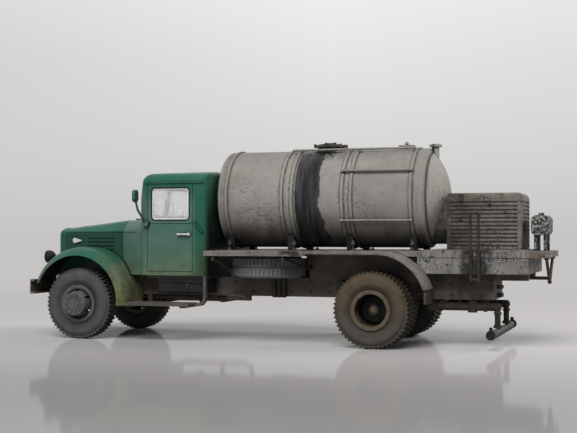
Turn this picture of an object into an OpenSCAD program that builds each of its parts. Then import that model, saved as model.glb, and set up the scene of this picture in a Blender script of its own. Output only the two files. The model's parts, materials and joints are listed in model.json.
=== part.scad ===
// Bitumen distributor truck: a small collector's model of an old bonneted road-works lorry,
// with a heated tank, an engine housing on the rear platform and a spray bar behind the axle.
// X points forward, Y to the truck's left and Z up. The origin is on the ground at mid length.
// All sizes are in millimetres.

/* [Overall] */
// Bumper face to front axle
front_overhang = 19.5; // [17:0.1:26]
// Front axle to rear axle
wheelbase = 105; // [100:0.5:125]
// Rear platform behind the engine housing
tail_room = 8.4; // [8:0.1:12]

/* [Wheels] */
// Tyre radius over the lugs
tyre_r = 12.2; // [11.6:0.1:12.8]
// Tyre width
tyre_w = 7.2; // [6.4:0.1:7.6]
// Height of the tyre lugs
lug_h = 0.45; // [0.3:0.05:0.6]
// Lugs in each of a tyre's two rows
tyre_lugs = 52; // [36:2:60]
// Bead seat radius of the rim
bead_r = 5.9; // [5.2:0.1:6.6]
// Width of the rim over its flanges
rim_w = 6.6; // [5.6:0.1:7]
// Hub plate of a front wheel outside its tyre's middle
front_hub_out = 6.3; // [4:0.1:6.8]
// Radius of a front wheel's hub plate
plate_r = 4; // [3.4:0.1:4.4]
// Nuts on each wheel
wheel_nuts = 10; // [6:1:12]
// Hand holes in each wheel
hand_holes = 6; // [4:1:8]
// Distance between the front tyre centres
front_track = 45.3; // [43:0.1:48]
// Distance between the middles of the rear twins
rear_track = 44.6; // [43:0.1:48]
// Distance between the tyre centres of one twin
twin_pitch = 8.1; // [7.8:0.1:9]
// Radius of the steel axle pins
pin_r = 1; // [0.8:0.05:1.4]
// Radial play of a wheel on its pin
wheel_play = 0.05; // [0.02:0.01:0.09]
// Side play of a wheel
side_play = 0.2; // [0.1:0.05:0.4]

/* [Chassis] */
// Underside of the frame rails above the ground
frame_z = 15; // [14.4:0.1:16]
// Height of a frame rail
rail_h = 6.3; // [5.4:0.1:7]
// Sheet thickness of a frame rail
rail_t = 0.7; // [0.5:0.05:1]
// Flange width of a frame rail
rail_flange = 2; // [1.5:0.1:3]
// Half width over the frame rails
frame_half = 10; // [9:0.1:10.4]
// Rear axle to the end of the frame rails
frame_tail = 34.8; // [30:0.1:38]
// Half length of the bumper
bumper_half = 26; // [22:0.1:29]
// Height of the bumper
bumper_h = 5; // [4:0.1:6]
// Depth of the bumper channel
bumper_d = 2.2; // [1.6:0.1:3]
// Radius of the screw holes for a display base
screw_r = 1; // [0.8:0.05:1.3]
// Depth of the screw holes
screw_depth = 4; // [3:0.1:4.4]

/* [Cab] */
// Half width of the cab
cab_half = 22.5; // [21:0.1:24]
// Front axle to the back of the cab
cab_back = 46.9; // [44:0.1:49]
// Front axle to the foot of the windscreen
screen_foot = 20.7; // [19:0.1:22]
// Front axle to the seam between bonnet and cowl
cowl_front = 11.7; // [10.5:0.1:13]
// Roof height above the cab's lower edge
cab_h = 36.3; // [34:0.1:38]
// Belt height above the cab's lower edge
belt_h = 19.3; // [18:0.1:20.5]
// Wall thickness of cab and bonnet
wall = 0.9; // [0.7:0.05:1.1]
// Thickness of the window panes
glass_t = 0.45; // [0.3:0.05:0.6]
// Front axle to the nose of the radiator shell
nose = 15; // [13:0.1:16]
// Depth of the radiator shell
shell_d = 2.9; // [2.4:0.1:4]
// Half width of the bonnet at the radiator
nose_half = 13; // [12:0.1:13.6]
// Half width of the bonnet at the cowl
cowl_half = 15.6; // [14.5:0.1:16.5]
// Outer radius of the front fenders
fender_r = 18.5; // [18:0.1:19.5]
// Outer edge of the front fenders from the middle
fender_edge = 27.5; // [26.5:0.1:29]

/* [Tank and deck] */
// Height of the subframe beams
beam_h = 7.7; // [7.5:0.1:9]
// Thickness of the deck
deck_t = 1.7; // [1.2:0.1:2.4]
// Half width of the middle deck
deck_half = 19.4; // [18:0.1:20]
// Outer edge of the catwalks from the middle
walk_edge = 30.5; // [30:0.1:32]
// Gap between the cab and the tank
cab_gap = 1.2; // [0.8:0.1:2]
// Radius of the tank
tank_r = 16.6; // [15:0.1:18]
// Length of the tank between its seams
tank_l = 71; // [66:0.1:72]
// Depth of the tank's dished ends
dish_h = 5.9; // [4:0.1:6.4]
// Radius of the tank's hatch lid
hatch_r = 5.2; // [4:0.1:6]
// Gap between tank and deck
tank_gap = 0.95; // [0.7:0.05:1.5]
// Turn of a mudguard from its top to its end, in degrees
guard_turn = 71; // [60:1:75]
// Outer radius of the mudguards
guard_r = 17.4; // [16.6:0.1:18]

/* [Rear] */
// Gap between the tank's back end and the engine housing
house_gap = 0.4; // [0.3:0.1:2]
// Length of the engine housing
house_l = 24.4; // [22:0.1:25.2]
// Height of the engine housing
house_h = 18.4; // [16:0.1:19]
// Half width of the engine housing
house_half = 9; // [8.6:0.1:14]
// Rear axle to the spray bar
bar_back = 36.9; // [36:0.1:42]
// Height of the spray bar's middle above the ground
bar_z = 5; // [4:0.1:7]
// Half length of the spray bar
bar_half = 25; // [20:0.1:29]
// Radius of the spray bar
bar_r = 1.1; // [0.8:0.05:1.4]

/* [Hidden] */
$fn = 48;
// Small gap between seated pieces
seat = 0.05;
length = front_overhang + cab_back + cab_gap + tank_l + dish_h + house_gap + house_l + tail_room;
x_front = length / 2;
x_tail = -length / 2;
x_fa = x_front - front_overhang;
x_ra = x_fa - wheelbase;
x_cab = x_fa - cab_back;
x_screen = x_fa - screen_foot;
x_cowl = x_fa - cowl_front;
x_nose = x_fa + nose;
x_end = x_ra - frame_tail;
frame_top = frame_z + rail_h;
floor_t = 0.8;
cab_z = frame_top + floor_t;
belt_z = cab_z + belt_h;
roof_z = cab_z + cab_h;
deck_z = frame_top + beam_h;
deck_top = deck_z + deck_t;
tank_z = deck_top + tank_gap + tank_r;
x_tank = x_cab - cab_gap;
x_tank_back = x_tank - tank_l;
strap_t = 0.4;
straps = [for (share = [0.044, 0.323, 0.372, 0.618, 0.66, 0.941]) x_tank - share * tank_l];
x_hatch = x_tank - 0.494 * tank_l;
x_cap = x_tank - 0.875 * tank_l;
x_house = x_tank_back - dish_h - house_gap;
x_house_back = x_house - house_l;
// Joint between the deck and the rear platform
x_joint = x_house + 6.2;
x_skirt = x_tail + 5.5;
x_bar = x_ra - bar_back;
web_y = frame_half - rail_t;
spring_y = frame_half + 1.6;
fender_x = x_fa + 0.2;
fender_z = tyre_r + 1;
crease_z = cab_z + 14.7;
guard_x = x_ra - 1.5;
guard_z = deck_top - guard_r;
spare_x = x_cab - 19.1;
spare_y = deck_half - 5.6;
spare_z = (frame_top + deck_z) / 2;

green = [0.17, 0.42, 0.34];
dark = [0.2, 0.19, 0.18];
grey = [0.55, 0.54, 0.5];
rubber = [0.12, 0.12, 0.12];
steel = [0.7, 0.7, 0.7];

// Unit vector
function unit(v) = v / norm(v);
// Points of one corner q between p and s, rounded by r
function corner(p, q, s, r, n) =
  r <= 0 ? [q] :
  let (
    a = unit(p - q),
    b = unit(s - q),
    half = acos(a * b) / 2,
    c = q + unit(a + b) * r / sin(half),
    d = r / tan(half),
    a0 = atan2(q.y + a.y * d - c.y, q.x + a.x * d - c.x),
    a1 = atan2(q.y + b.y * d - c.y, q.x + b.x * d - c.x),
    turn = (a1 - a0 + 540) % 360 - 180
  ) [for (i = [0:n]) c + r * [cos(a0 + turn * i / n), sin(a0 + turn * i / n)]];
// Outline through corners given as [x, y, radius]
function rounded(pts, n = 5) = [
  for (i = [0:len(pts) - 1])
    let (
      k = len(pts),
      p = pts[(i + k - 1) % k],
      q = pts[i],
      s = pts[(i + 1) % k]
    ) each corner([p.x, p.y], [q.x, q.y], [s.x, s.y], q[2], n)
];
// Rectangle outline with rounded corners
function box_outline(x0, y0, x1, y1, r) = rounded([[x0, y0, r], [x1, y0, r], [x1, y1, r], [x0, y1, r]]);
// Arc points
function arc(c, r, a0, a1, n) = [for (i = [0:n]) c + r * [cos(a0 + (a1 - a0) * i / n), sin(a0 + (a1 - a0) * i / n)]];

// Side outline (x, z) drawn out from y0 to y1
module along_y(y0, y1) {
  translate([0, y1, 0]) rotate([90, 0, 0]) linear_extrude(y1 - y0) children();
}
// Front outline (y, z) drawn out from x0 to x1
module along_x(x0, x1) {
  translate([x0, 0, 0]) rotate([90, 0, 90]) linear_extrude(x1 - x0) children();
}
// The same thing on both sides
module both_sides() {
  children();
  mirror([0, 1, 0]) children();
}
// Block between two corners
module block(a, b) {
  translate(a) cube(b - a);
}
// Round bar between two points
module rod(p, q, r) {
  d = q - p;
  translate(p) rotate([0, acos(d.z / norm(d)), atan2(d.y, d.x)]) cylinder(h = norm(d), r = r);
}
// Ring or disc about the Y axis, its outline given as radius and width
module turned_y() {
  rotate([-90, 0, 0]) rotate_extrude() children();
}
// Ring or disc about the X axis, its outline given as radius and length
module turned_x() {
  rotate([0, 90, 0]) rotate_extrude() children();
}

module frame_rails() {
  color(dark) both_sides() along_x(x_end, x_front - bumper_d) polygon([
    [frame_half, frame_z],
    [frame_half, frame_top],
    [frame_half - rail_flange, frame_top],
    [frame_half - rail_flange, frame_top - rail_t],
    [web_y, frame_top - rail_t],
    [web_y, frame_z + rail_t],
    [frame_half - rail_flange, frame_z + rail_t],
    [frame_half - rail_flange, frame_z]
  ]);
}

// Block between the rails with a blind screw hole from below
module screw_block(x) {
  difference() {
    block([x - 3, -web_y, frame_z + rail_t + seat], [x + 3, web_y, frame_top - rail_t - seat]);
    translate([x, 0, frame_z + rail_t - 1]) cylinder(h = 1 + screw_depth, r = screw_r);
  }
}

screw_x = [x_fa + 11.5, x_ra - 29];

module cross_members() {
  top = frame_top - rail_t - seat;
  color(dark) {
    for (x = screw_x) screw_block(x);
    for (x = [x_fa - 38, x_fa - 58, x_ra + 17, x_ra - 15])
      block([x - 1.2, -web_y, frame_z + 2.9], [x + 1.2, web_y, top]);
    // End plate with the tow jaw
    difference() {
      union() {
        block([x_end - 0.8, -frame_half, frame_z], [x_end, frame_half, frame_top]);
        block([x_end - 2.4, -2, frame_z + 0.6], [x_end - 0.4, 2, frame_top - 1.9]);
      }
      block([x_end - 5, -3, frame_z + 1.9], [x_end - 0.8, 3, frame_z + 3.3]);
      translate([x_end - 1.6, 0, frame_z]) cylinder(h = rail_h, r = 0.4);
    }
  }
}

module front_bumper() {
  z0 = frame_z + 0.3;
  t = 0.7;
  color(dark) intersection() {
    along_y(-bumper_half, bumper_half) polygon([
      [x_front - bumper_d, z0],
      [x_front, z0],
      [x_front, z0 + bumper_h],
      [x_front - bumper_d, z0 + bumper_h],
      [x_front - bumper_d, z0 + bumper_h - t],
      [x_front - t, z0 + bumper_h - t],
      [x_front - t, z0 + t],
      [x_front - bumper_d, z0 + t]
    ]);
    linear_extrude(frame_top + bumper_h) polygon(rounded([
      [x_front - bumper_d, -bumper_half, 0],
      [x_front, -bumper_half, 1.4],
      [x_front, bumper_half, 1.4],
      [x_front - bumper_d, bumper_half, 0]
    ]));
  }
}

front_hub_y = front_track / 2 - rim_w / 2 - side_play;
rear_hub_y = (rear_track - twin_pitch) / 2 - rim_w / 2 - side_play;
front_pin_end = front_track / 2 + 1.6;
rear_pin_end = (rear_track + twin_pitch) / 2 - 1.7;

module front_axle() {
  drop = tyre_r - 0.4;
  color(dark) translate([x_fa, 0, 0]) {
    // Beam with its spring seats
    difference() {
      along_y(-front_hub_y + 1.8, front_hub_y - 1.8) polygon(box_outline(-1.2, drop - 1.6, 1.2, drop + 0.9, 0.3));
      for (s = [-1, 1]) along_y(-spring_y + 2, spring_y - 2)
        translate([s * 1.2, drop - 0.35]) square([1, 1.1], center = true);
    }
    // Knuckles and pins
    both_sides() {
      translate([0, front_hub_y - 1.4, tyre_r - 2.6]) cylinder(h = 5.2, r = 1.4);
      translate([0, front_hub_y, tyre_r]) rotate([90, 0, 0]) cylinder(h = 1.4, r = 1.7);
      rod([0, front_hub_y - 1, tyre_r], [0, front_pin_end, tyre_r], pin_r);
    }
    // Track rod behind the beam
    rod([-3.4, -front_hub_y + 1.4, tyre_r - 1.8], [-3.4, front_hub_y - 1.4, tyre_r - 1.8], 0.45);
    both_sides() block([-3.9, front_hub_y - 2, tyre_r - 2.2], [0, front_hub_y - 0.9, tyre_r - 1.4]);
  }
}

// The pinion nose leans up towards the gearbox
pinion_dir = [cos(20), 0, sin(20)];
pinion_end = 6.4;

module rear_axle() {
  color(dark) translate([x_ra, 0, tyre_r]) {
    rotate([90, 0, 0]) cylinder(h = 2 * rear_hub_y, r = 1.9, center = true);
    sphere(r = 4.5);
    rod(2.6 * pinion_dir, pinion_end * pinion_dir, 1.7);
    both_sides() rod([0, rear_hub_y - 1, 0], [0, rear_pin_end, 0], pin_r);
  }
}

// Leaf pack about an axle at x, between two hangers
module leaf_pack(x, span, eye_z, seat_z) {
  sag = eye_z - seat_z;
  r = (span * span + sag * sag) / (2 * sag);
  a = asin(span / r);
  along_y(spring_y - 1, spring_y + 1) {
    for (i = [0:2])
      polygon(concat(
        arc([x, seat_z + r + 0.45 * i], r, -90 - a * (1 - 0.28 * i), -90 + a * (1 - 0.28 * i), 8),
        arc([x, seat_z + r + 0.45 * i], r - 0.47, -90 + a * (1 - 0.28 * i), -90 - a * (1 - 0.28 * i), 8)
      ));
  }
}

module leaf_springs() {
  front_seat = tyre_r + 0.5 + seat;
  rear_seat = tyre_r + 1.9 + seat;
  color(dark) both_sides() {
    leaf_pack(x_fa, 11.5, frame_z + 0.6, front_seat);
    for (x = [x_fa - 11.5, x_fa + 11.5])
      block([x - 1.1, frame_half, frame_z - 0.6], [x + 1.1, spring_y + 1.2, frame_z + 3.6]);
    leaf_pack(x_ra, 14.5, frame_z + 2.6, rear_seat);
    for (x = [x_ra - 14.5, x_ra + 14.5])
      block([x - 1.1, frame_half, frame_z + 0.4], [x + 1.1, spring_y + 1.2, frame_z + 5.6]);
  }
}

module engine_and_gearbox() {
  color(dark) {
    along_x(x_fa - 11, x_fa + 8) polygon(rounded([
      [-4, frame_z - 1.4, 1], [4, frame_z - 1.4, 1], [6, frame_z + 4, 0], [5, frame_z + 17, 1.5],
      [-5, frame_z + 17, 1.5], [-6, frame_z + 4, 0]
    ]));
    rod([x_fa - 34, 0, frame_z + 2.2], [x_fa - 10.5, 0, frame_z + 2.2], 3.4);
    // Feet on the rails
    for (x = [x_fa - 8, x_fa + 4])
      block([x - 1.5, -web_y, frame_z + 1.6], [x + 1.5, web_y, frame_z + 4.2]);
  }
}

module propeller_shaft() {
  p = [x_fa - 34 - seat, 0, frame_z + 1.6];
  q = [x_ra, 0, tyre_r] + (pinion_end + seat) * pinion_dir;
  color(dark) {
    rod(p + [-1.2, 0, 0], q + 1.2 * pinion_dir, 0.7);
    rod(p, p + [-2, 0, 0], 1.3);
    rod(q, q + 2 * pinion_dir, 1.3);
  }
}

module exhaust_pipe() {
  z = frame_z - 0.8;
  y = frame_half - 3.7;
  color(dark) {
    rod([x_fa - 30, y, z], [x_fa - 47, y, z], 1.5);
    rod([x_fa - 12, y, z], [x_fa - 31, y, z], 0.7);
    difference() {
      union() {
        rod([x_fa - 46.5, y, z], [x_fa - 51, y + 5.9, z], 0.62);
        rod([x_fa - 51, y + 5.9, z], [x_fa - 59, y + 6.7, z], 0.7);
        translate([x_fa - 51, y + 5.9, z]) sphere(r = 0.74);
      }
      rod([x_fa - 56, y + 6.4, z], [x_fa - 62, y + 7, z], 0.45);
    }
    // Hangers up to the frame
    for (x = [x_fa - 33, x_fa - 45])
      block([x - 0.5, y + 0.6, z], [x + 0.5, frame_half - 0.4, frame_z]);
  }
}

// Bonnet cross-section, as [y, z] points, with half width h and crown height c
function bonnet_section(h, c, z0) = rounded([
  [-h, z0, 0], [h, z0, 0], [h, crease_z + 0.4, 1.6],
  [h * 0.72, c - 0.5, 5], [-h * 0.72, c - 0.5, 5], [-h, crease_z + 0.4, 1.6]
], 4);

crown_front = crease_z + 2.1;
crown_back = crease_z + 4.8;

// Bonnet solid between two stations, made smaller all round by inset
module bonnet_solid(inset, x0, x1) {
  z0 = cab_z + 1.5;
  hull() {
    along_x(x1 - 0.01, x1) polygon(bonnet_section(nose_half - inset, crown_front - inset, z0));
    along_x(x0, x0 + 0.01) polygon(bonnet_section(cowl_half - inset, crown_back - inset, z0));
  }
}

// Space that the front fenders and the wheels take
module fender_space(grow) {
  translate([fender_x, 0, fender_z]) rotate([90, 0, 0]) cylinder(h = 80, r = fender_r + grow, center = true);
}

module bonnet() {
  x0 = x_cowl + 0.1;
  x1 = x_nose - shell_d - 0.1;
  slope = atan((cowl_half - nose_half) / (x1 - x0));
  color(green) difference() {
    bonnet_solid(0, x0, x1);
    translate([0, 0, -wall]) bonnet_solid(wall, x0 - 1, x1 + 1);
    block([x0 - 1, -cowl_half + 2.5, 0], [x1 + 1, cowl_half - 2.5, cab_z + 3]);
    both_sides() intersection() {
      fender_space(0.1);
      block([x0 - 1, 0, 0], [x1 + 1, 40, roof_z]);
    }
    // Middle hinge line and the crease lines of the lifting sides
    block([x0 - 1, -0.1, crown_front - 0.4], [x1 + 1, 0.1, crown_back + 1]);
    both_sides() {
      translate([x0, cowl_half, 0]) rotate([0, 0, -slope]) {
        block([-1, -0.2, crease_z - 0.1], [x1 - x0 + 1, 1, crease_z + 0.08]);
        // Louvre slots
        for (i = [0:3])
          block([3, -0.35, crease_z - 2.5 - 1.35 * i], [14.4, 1, crease_z - 1.9 - 1.35 * i]);
      }
    }
  }
}

module radiator_grille() {
  x0 = x_nose - shell_d;
  z0 = cab_z + 1.5;
  color(green) {
    difference() {
      hull() {
        along_x(x0, x_nose - 0.9) polygon(bonnet_section(nose_half, crown_front, z0));
        along_x(x0, x_nose) polygon(bonnet_section(nose_half - 1, crown_front - 0.8, z0));
      }
      along_x(x_nose - 1.6, x_nose + 1)
        polygon(box_outline(-nose_half + 3, z0 + 1.6, nose_half - 3, crown_front - 3, 2));
    }
    // Grille bars
    for (i = [0:6])
      translate([0, 0, z0 + 2.4 + 1.55 * i])
        block([x_nose - 1.7, -nose_half + 2.9, 0], [x_nose - 0.5, nose_half - 2.9, 0.7]);
    block([x_nose - 1.7, -0.5, z0 + 1.5], [x_nose - 0.3, 0.5, crown_front - 2.9]);
  }
}

module front_fenders() {
  inner = nose_half - 0.6;
  t = 0.8;
  lip = 2.9;
  bulge = 6.2;
  tail_turn = 5;
  color(green) both_sides() difference() {
    union() {
      translate([fender_x, 0, fender_z]) rotate([90, 0, 180]) rotate([0, 0, -tail_turn])
        rotate_extrude(angle = 170) polygon(concat(
        [[fender_r, inner]],
        arc([fender_r - bulge, fender_edge - 5.4], bulge, 0, 50, 5),
        [[fender_r - lip, fender_edge]],
        arc([fender_r - bulge, fender_edge - 5.4], bulge - t, 50, 0, 5),
        [[fender_r - t, inner]]
      ));
      // Inner apron down to the frame
      intersection() {
        along_y(inner, inner + t) translate([fender_x, fender_z]) circle(r = fender_r - 0.3);
        block([fender_x - 30, 0, frame_top + 0.2], [fender_x + 30, 40, 60]);
      }
    }
    // Room for the radiator shell
    block([x_nose - shell_d - 0.1, 0, 0], [x_nose + 1, nose_half + seat, roof_z]);
    // Room for the bumper
    block([x_front - bumper_d - 0.1, 0, 0], [x_front + 5, 40, roof_z]);
    // Front tips cut off level
    block([fender_x, 0, 0], [fender_x + 30, 40, fender_z + 5.8]);
  }
}

// Outer cab solid made smaller all round by inset
module cab_solid(inset) {
  e = inset;
  intersection() {
    along_y(-cab_half + e, cab_half - e) polygon(rounded([
      [x_cab + e, cab_z + e, 0.6],
      [x_screen + 0.3 - e, cab_z + e, 0],
      [x_screen + 0.3 - e, belt_z, 0],
      [x_screen - 2.7 - e, roof_z - 1.7 - e, 3.6],
      [x_cab + 11, roof_z - e, 20],
      [x_cab + e, roof_z - 0.8 - e, 2.6]
    ]));
    along_x(x_cab, x_cowl) polygon(rounded([
      [-cab_half + e, cab_z + e, 0],
      [cab_half - e, cab_z + e, 0],
      [cab_half - e, roof_z - 1.7 - e, 3.6],
      [0, roof_z - e, 60],
      [-cab_half + e, roof_z - 1.7 - e, 3.6]
    ]));
    linear_extrude(roof_z) polygon(rounded([
      [x_cab + e, -cab_half + e, 2.4],
      [x_screen - 0.6 - e, -cab_half + e, 3],
      [x_screen + 0.2 - e, 0, 0],
      [x_screen - 0.6 - e, cab_half - e, 3],
      [x_cab + e, cab_half - e, 2.4]
    ]));
  }
}

// Cowl between the bonnet's back edge and the cab, made smaller by inset
module cowl_solid(inset) {
  z0 = cab_z + inset;
  hull() {
    along_x(x_cowl - 0.01 + inset, x_cowl + inset) polygon(bonnet_section(cowl_half - inset, crown_back - inset, z0));
    along_x(x_screen - 4, x_screen - 3.99) polygon(rounded([
      [-cab_half + inset, z0, 0], [cab_half - inset, z0, 0], [cab_half - inset, belt_z - 0.2 - inset, 4],
      [-cab_half + inset, belt_z - 0.2 - inset, 4]
    ], 4));
  }
}

roof_seam = belt_z + 12.5;
win_x0 = x_fa - 40.1;
win_x1 = x_fa - 26.4;
win_z0 = belt_z - 0.4;
win_z1 = belt_z + 10.4;

// Window openings, made smaller all round by gap
module window_openings(gap) {
  g = gap;
  along_y(-40, 40) polygon(box_outline(win_x0 + g, win_z0 + g, win_x1 - g, win_z1 - g, 1.2));
  both_sides() along_x(x_screen - 6, x_screen + 4)
    polygon(box_outline(0.9 + g, belt_z + 1.2 + g, cab_half - 3.2 - g, belt_z + 10.8 - g, 1));
  along_x(x_cab - 3, x_cab + 3) polygon(box_outline(-9 + g, belt_z + 1 + g, 9 - g, belt_z + 9 - g, 1.2));
}

module cab_shell() {
  door_x0 = x_fa - 41.4;
  door_x1 = x_fa - 24.7;
  line = 0.1;
  color(green) difference() {
    union() {
      cab_solid(0);
      cowl_solid(0);
      // Vent lid on the cowl
      translate([0, 0, belt_z - 0.8]) linear_extrude(1.1)
        polygon(box_outline(x_cowl - 4.6, -7.5, x_cowl - 0.8, 7.5, 1.2));
      // Drip rails
      both_sides()
        block([x_cab + 1.5, cab_half - 0.4, roof_seam - 0.5], [x_screen - 3.2, cab_half + 0.35, roof_seam]);
    }
    cab_solid(wall);
    cowl_solid(wall);
    block([x_cab - 1, -2 * cab_half, roof_seam], [x_cowl, 2 * cab_half, roof_z + 1]);
    // Open underside on the floor and open front behind the engine
    block([x_cab + wall, -cab_half + wall, 0], [x_screen - 3.5, cab_half - wall, cab_z + 3]);
    block([x_screen - 3.6, -cowl_half + wall, 0], [x_cowl + 2, cowl_half - wall, cab_z + 12]);
    window_openings(0);
    both_sides() intersection() {
      fender_space(0.1);
      block([x_screen - 12, nose_half - 1, 0], [x_cowl + 1, 40, roof_z]);
    }
    // Door lines
    both_sides() {
      for (x = [door_x0, door_x1])
        block([x - line, cab_half - 0.2, cab_z + 1.4], [x + line, cab_half + 0.2, belt_z + 11.6]);
      for (z = [cab_z + 1.4, belt_z - 1.7])
        block([door_x0, cab_half - 0.2, z - line], [door_x1, cab_half + 0.2, z + line]);
    }
  }
}

module cab_roof() {
  color(green) difference() {
    intersection() {
      cab_solid(0);
      block([x_cab - 1, -2 * cab_half, roof_seam], [x_cowl, 2 * cab_half, roof_z + 1]);
    }
    cab_solid(wall);
  }
}

module cab_glazing() {
  color([0.8, 0.9, 0.9]) intersection() {
    window_openings(seat);
    difference() {
      cab_solid(0.2);
      cab_solid(0.2 + glass_t);
    }
  }
}

module cab_interior() {
  y = cab_half - wall - 0.15;
  x0 = x_cab + wall + 0.15;
  color(dark) {
    block([x0, -y, frame_top], [x_screen - 3.6, y, frame_top + 1.1]);
    along_y(-y + 2, y - 2) polygon(rounded([
      [x0 + 0.6, frame_top + 1, 0],
      [x0 + 12, frame_top + 1, 0],
      [x0 + 12.6, frame_top + 10, 1.4],
      [x0 + 4, frame_top + 9.4, 0.8],
      [x0 + 2.6, belt_z + 2, 0.9],
      [x0 + 0.6, belt_z + 2, 0.6]
    ]));
  }
}

module dashboard() {
  y = cab_half - wall - 1.5;
  hub = [x_screen - 8.4, 9.6, belt_z - 2.4];
  foot = [x_screen - 1.6, 9.6, belt_z - 10];
  color(dark) {
    along_y(-y, y) polygon(rounded([
      [x_screen - 5.2, belt_z - 5, 0.6],
      [x_screen - 2.2, belt_z - 5, 0],
      [x_screen - 2.2, belt_z - 0.2, 0],
      [x_screen - 4.4, belt_z - 0.2, 1]
    ]));
    rod(hub, foot, 0.5);
    translate(hub) rotate([0, -42, 0]) {
      rotate_extrude() translate([4.6, 0]) circle(r = 0.45, $fn = 16);
      for (a = [0, 120, 240]) rotate([0, 0, a]) rod([0, 0, -0.1], [4.5, 0, 0], 0.35);
      translate([0, 0, -0.5]) cylinder(h = 1, r = 0.9);
    }
  }
}

// Mirror heads on bent arms, from brackets at the feet of the screen pillars
module mirrors() {
  r = 0.36;
  p = [x_fa - 24.4, cab_half + 0.75, belt_z - 1.6];
  m = [x_fa - 22.6, cab_half + 3.2, belt_z + 3];
  q = [x_fa - 22.2, cab_half + 4.2, belt_z + 6.4];
  color(green) both_sides() {
    along_y(cab_half, cab_half + 1.2) polygon(box_outline(p.x - 1.1, p.z - 1, p.x + 1, p.z + 0.8, 0.5));
    rod(p, m, r);
    rod(m, q, r);
    for (e = [p, m]) translate(e) sphere(r = r + 0.06, $fn = 24);
    along_x(q.x - 0.45, q.x + 0.55) polygon(box_outline(q.y - 1.5, q.z - 0.8, q.y + 1.5, q.z + 3.4, 1.35));
  }
}

module door_handles() {
  x = x_fa - 40.3;
  z = belt_z - 5.3;
  color(steel) both_sides() {
    rod([x, cab_half + seat, z], [x, cab_half + 0.9, z], 0.55);
    rod([x - 0.3, cab_half + 0.75, z], [x + 4.2, cab_half + 0.75, z], 0.38);
  }
}

module bonnet_latches() {
  x0 = x_cowl + 0.1;
  x1 = x_nose - shell_d - 0.1;
  slope = atan((cowl_half - nose_half) / (x1 - x0));
  color(steel) both_sides() translate([x0, cowl_half, 0]) rotate([0, 0, -slope])
    along_y(seat, 0.65) polygon(rounded([
      [16, crease_z - 2.9, 0.2], [20.2, crease_z - 4, 0.7], [20.6, crease_z - 1.7, 0.7]
    ]));
}

module grab_handles() {
  p = [x_cab + 4.4, cab_half, belt_z - 1.4];
  q = [x_cab + 1.8, cab_half, belt_z - 4.4];
  out = [0, 0.9, 0];
  color(steel) both_sides() {
    rod(p + [0, seat, 0], p + out, 0.28);
    rod(q + [0, seat, 0], q + out, 0.28);
    rod(p + out, q + out, 0.28);
    for (e = [p, q]) translate(e + out) sphere(r = 0.36, $fn = 24);
  }
}

lamp = [x_fa + 14.9, 19.5, frame_z + 13.2];
lamp_r = 2.2;

module headlamp_shells() {
  color(dark) both_sides() translate(lamp) {
    turned_x() polygon(concat(
      [[0, -lamp_r]], arc([0, 0], lamp_r, -80, -5, 6),
      [[lamp_r, 0.9], [lamp_r - 0.4, 0.9], [lamp_r - 0.4, 0.1], [0, -0.2]]
    ));
    difference() {
      rod([-1, 0, -1.6], [-1, 0, -5.5], 0.5);
      translate(-lamp) fender_space(seat);
    }
  }
}

module headlamp_lenses() {
  r = lamp_r - 0.45;
  dome = 3;
  color([0.9, 0.9, 0.85]) both_sides() translate(lamp)
    turned_x() polygon(concat([[0, 0.35], [r, 0.35]], arc([0, -1.8], dome, acos(r / dome), 90, 4)));
}

module running_boards() {
  z = frame_z - 3;
  t = 1.1;
  x0 = x_fa - 42.5;
  x1 = fender_x - fender_r + 1.5;
  xp = x_fa - 46.7;
  color(dark) both_sides() {
    difference() {
      along_y(cab_half - 2.5, cab_half + 5.6) polygon(rounded([
        [x0, z, 0.5], [x1, z, 0], [x1, z + t, 0], [x0, z + t, 0.5]
      ]));
      fender_space(seat);
    }
    // Hooked strap from the board up to the cab corner
    along_y(cab_half - wall, cab_half + 0.9) polygon(rounded([
      [x0 + 1, z + 0.15, 0], [x0 + 1, z + t - 0.15, 0], [xp + 1, z + t - 0.15, 2], [xp + 1, cab_z - seat, 0],
      [xp, cab_z - seat, 0], [xp, z + 0.15, 2.6]
    ]));
    // Arms in to the frame
    for (x = [x0 + 3, x1 - 3]) {
      block([x - 0.8, frame_half - 0.8, z - 0.6], [x + 0.8, cab_half + 4.5, z + 0.1]);
      block([x - 0.8, frame_half - 0.8, z - 0.6], [x + 0.8, frame_half, frame_z]);
    }
  }
}

module side_boxes() {
  z0 = frame_z + 1.2;
  color(dark) both_sides() difference() {
    union() {
      along_x(x_fa - 45, x_fa - 28.5) polygon(box_outline(frame_half, z0, cab_half - 1.6, frame_top - seat, 0.5));
      block([x_fa - 45.3, frame_half, frame_top - 1.6], [x_fa - 28.2, cab_half - 1.3, frame_top - seat]);
    }
    // Lid line
    block([x_fa - 46, cab_half - 1.8, frame_top - 2], [x_fa - 28, cab_half, frame_top - 1.8]);
  }
}

// Ribbed bracket on the rail below the spare wheel
module rail_bracket() {
  x = spare_x - 2.4;
  color(dark) {
    block([x - 2.4, frame_half, frame_z - 0.3], [x + 2.4, frame_half + 0.7, frame_top - 0.4]);
    for (d = [-1.7, 0, 1.7])
      translate([x + d, frame_half + 0.8, frame_z - 0.3]) cylinder(h = rail_h - 0.1, r = 0.7);
  }
}

module fuel_tank() {
  color(dark) mirror([0, 1, 0]) difference() {
    union() {
      along_x(spare_x - 11, spare_x + 11)
        polygon(box_outline(frame_half + 1.4, frame_z + 1, frame_half + 15, deck_z - 1.6, 3));
      for (d = [-6, 6])
        along_x(spare_x + d - 0.6, spare_x + d + 0.6)
          polygon(box_outline(frame_half + 1.1, frame_z + 0.7, frame_half + 15.3, deck_z - 1.3, 3.2));
      // Hanger brackets on the rail
      for (d = [-6, 6])
        block([spare_x + d - 0.6, frame_half, frame_z + 1.6], [spare_x + d + 0.6, frame_half + 2, frame_top - 0.6]);
    }
  }
}

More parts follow.
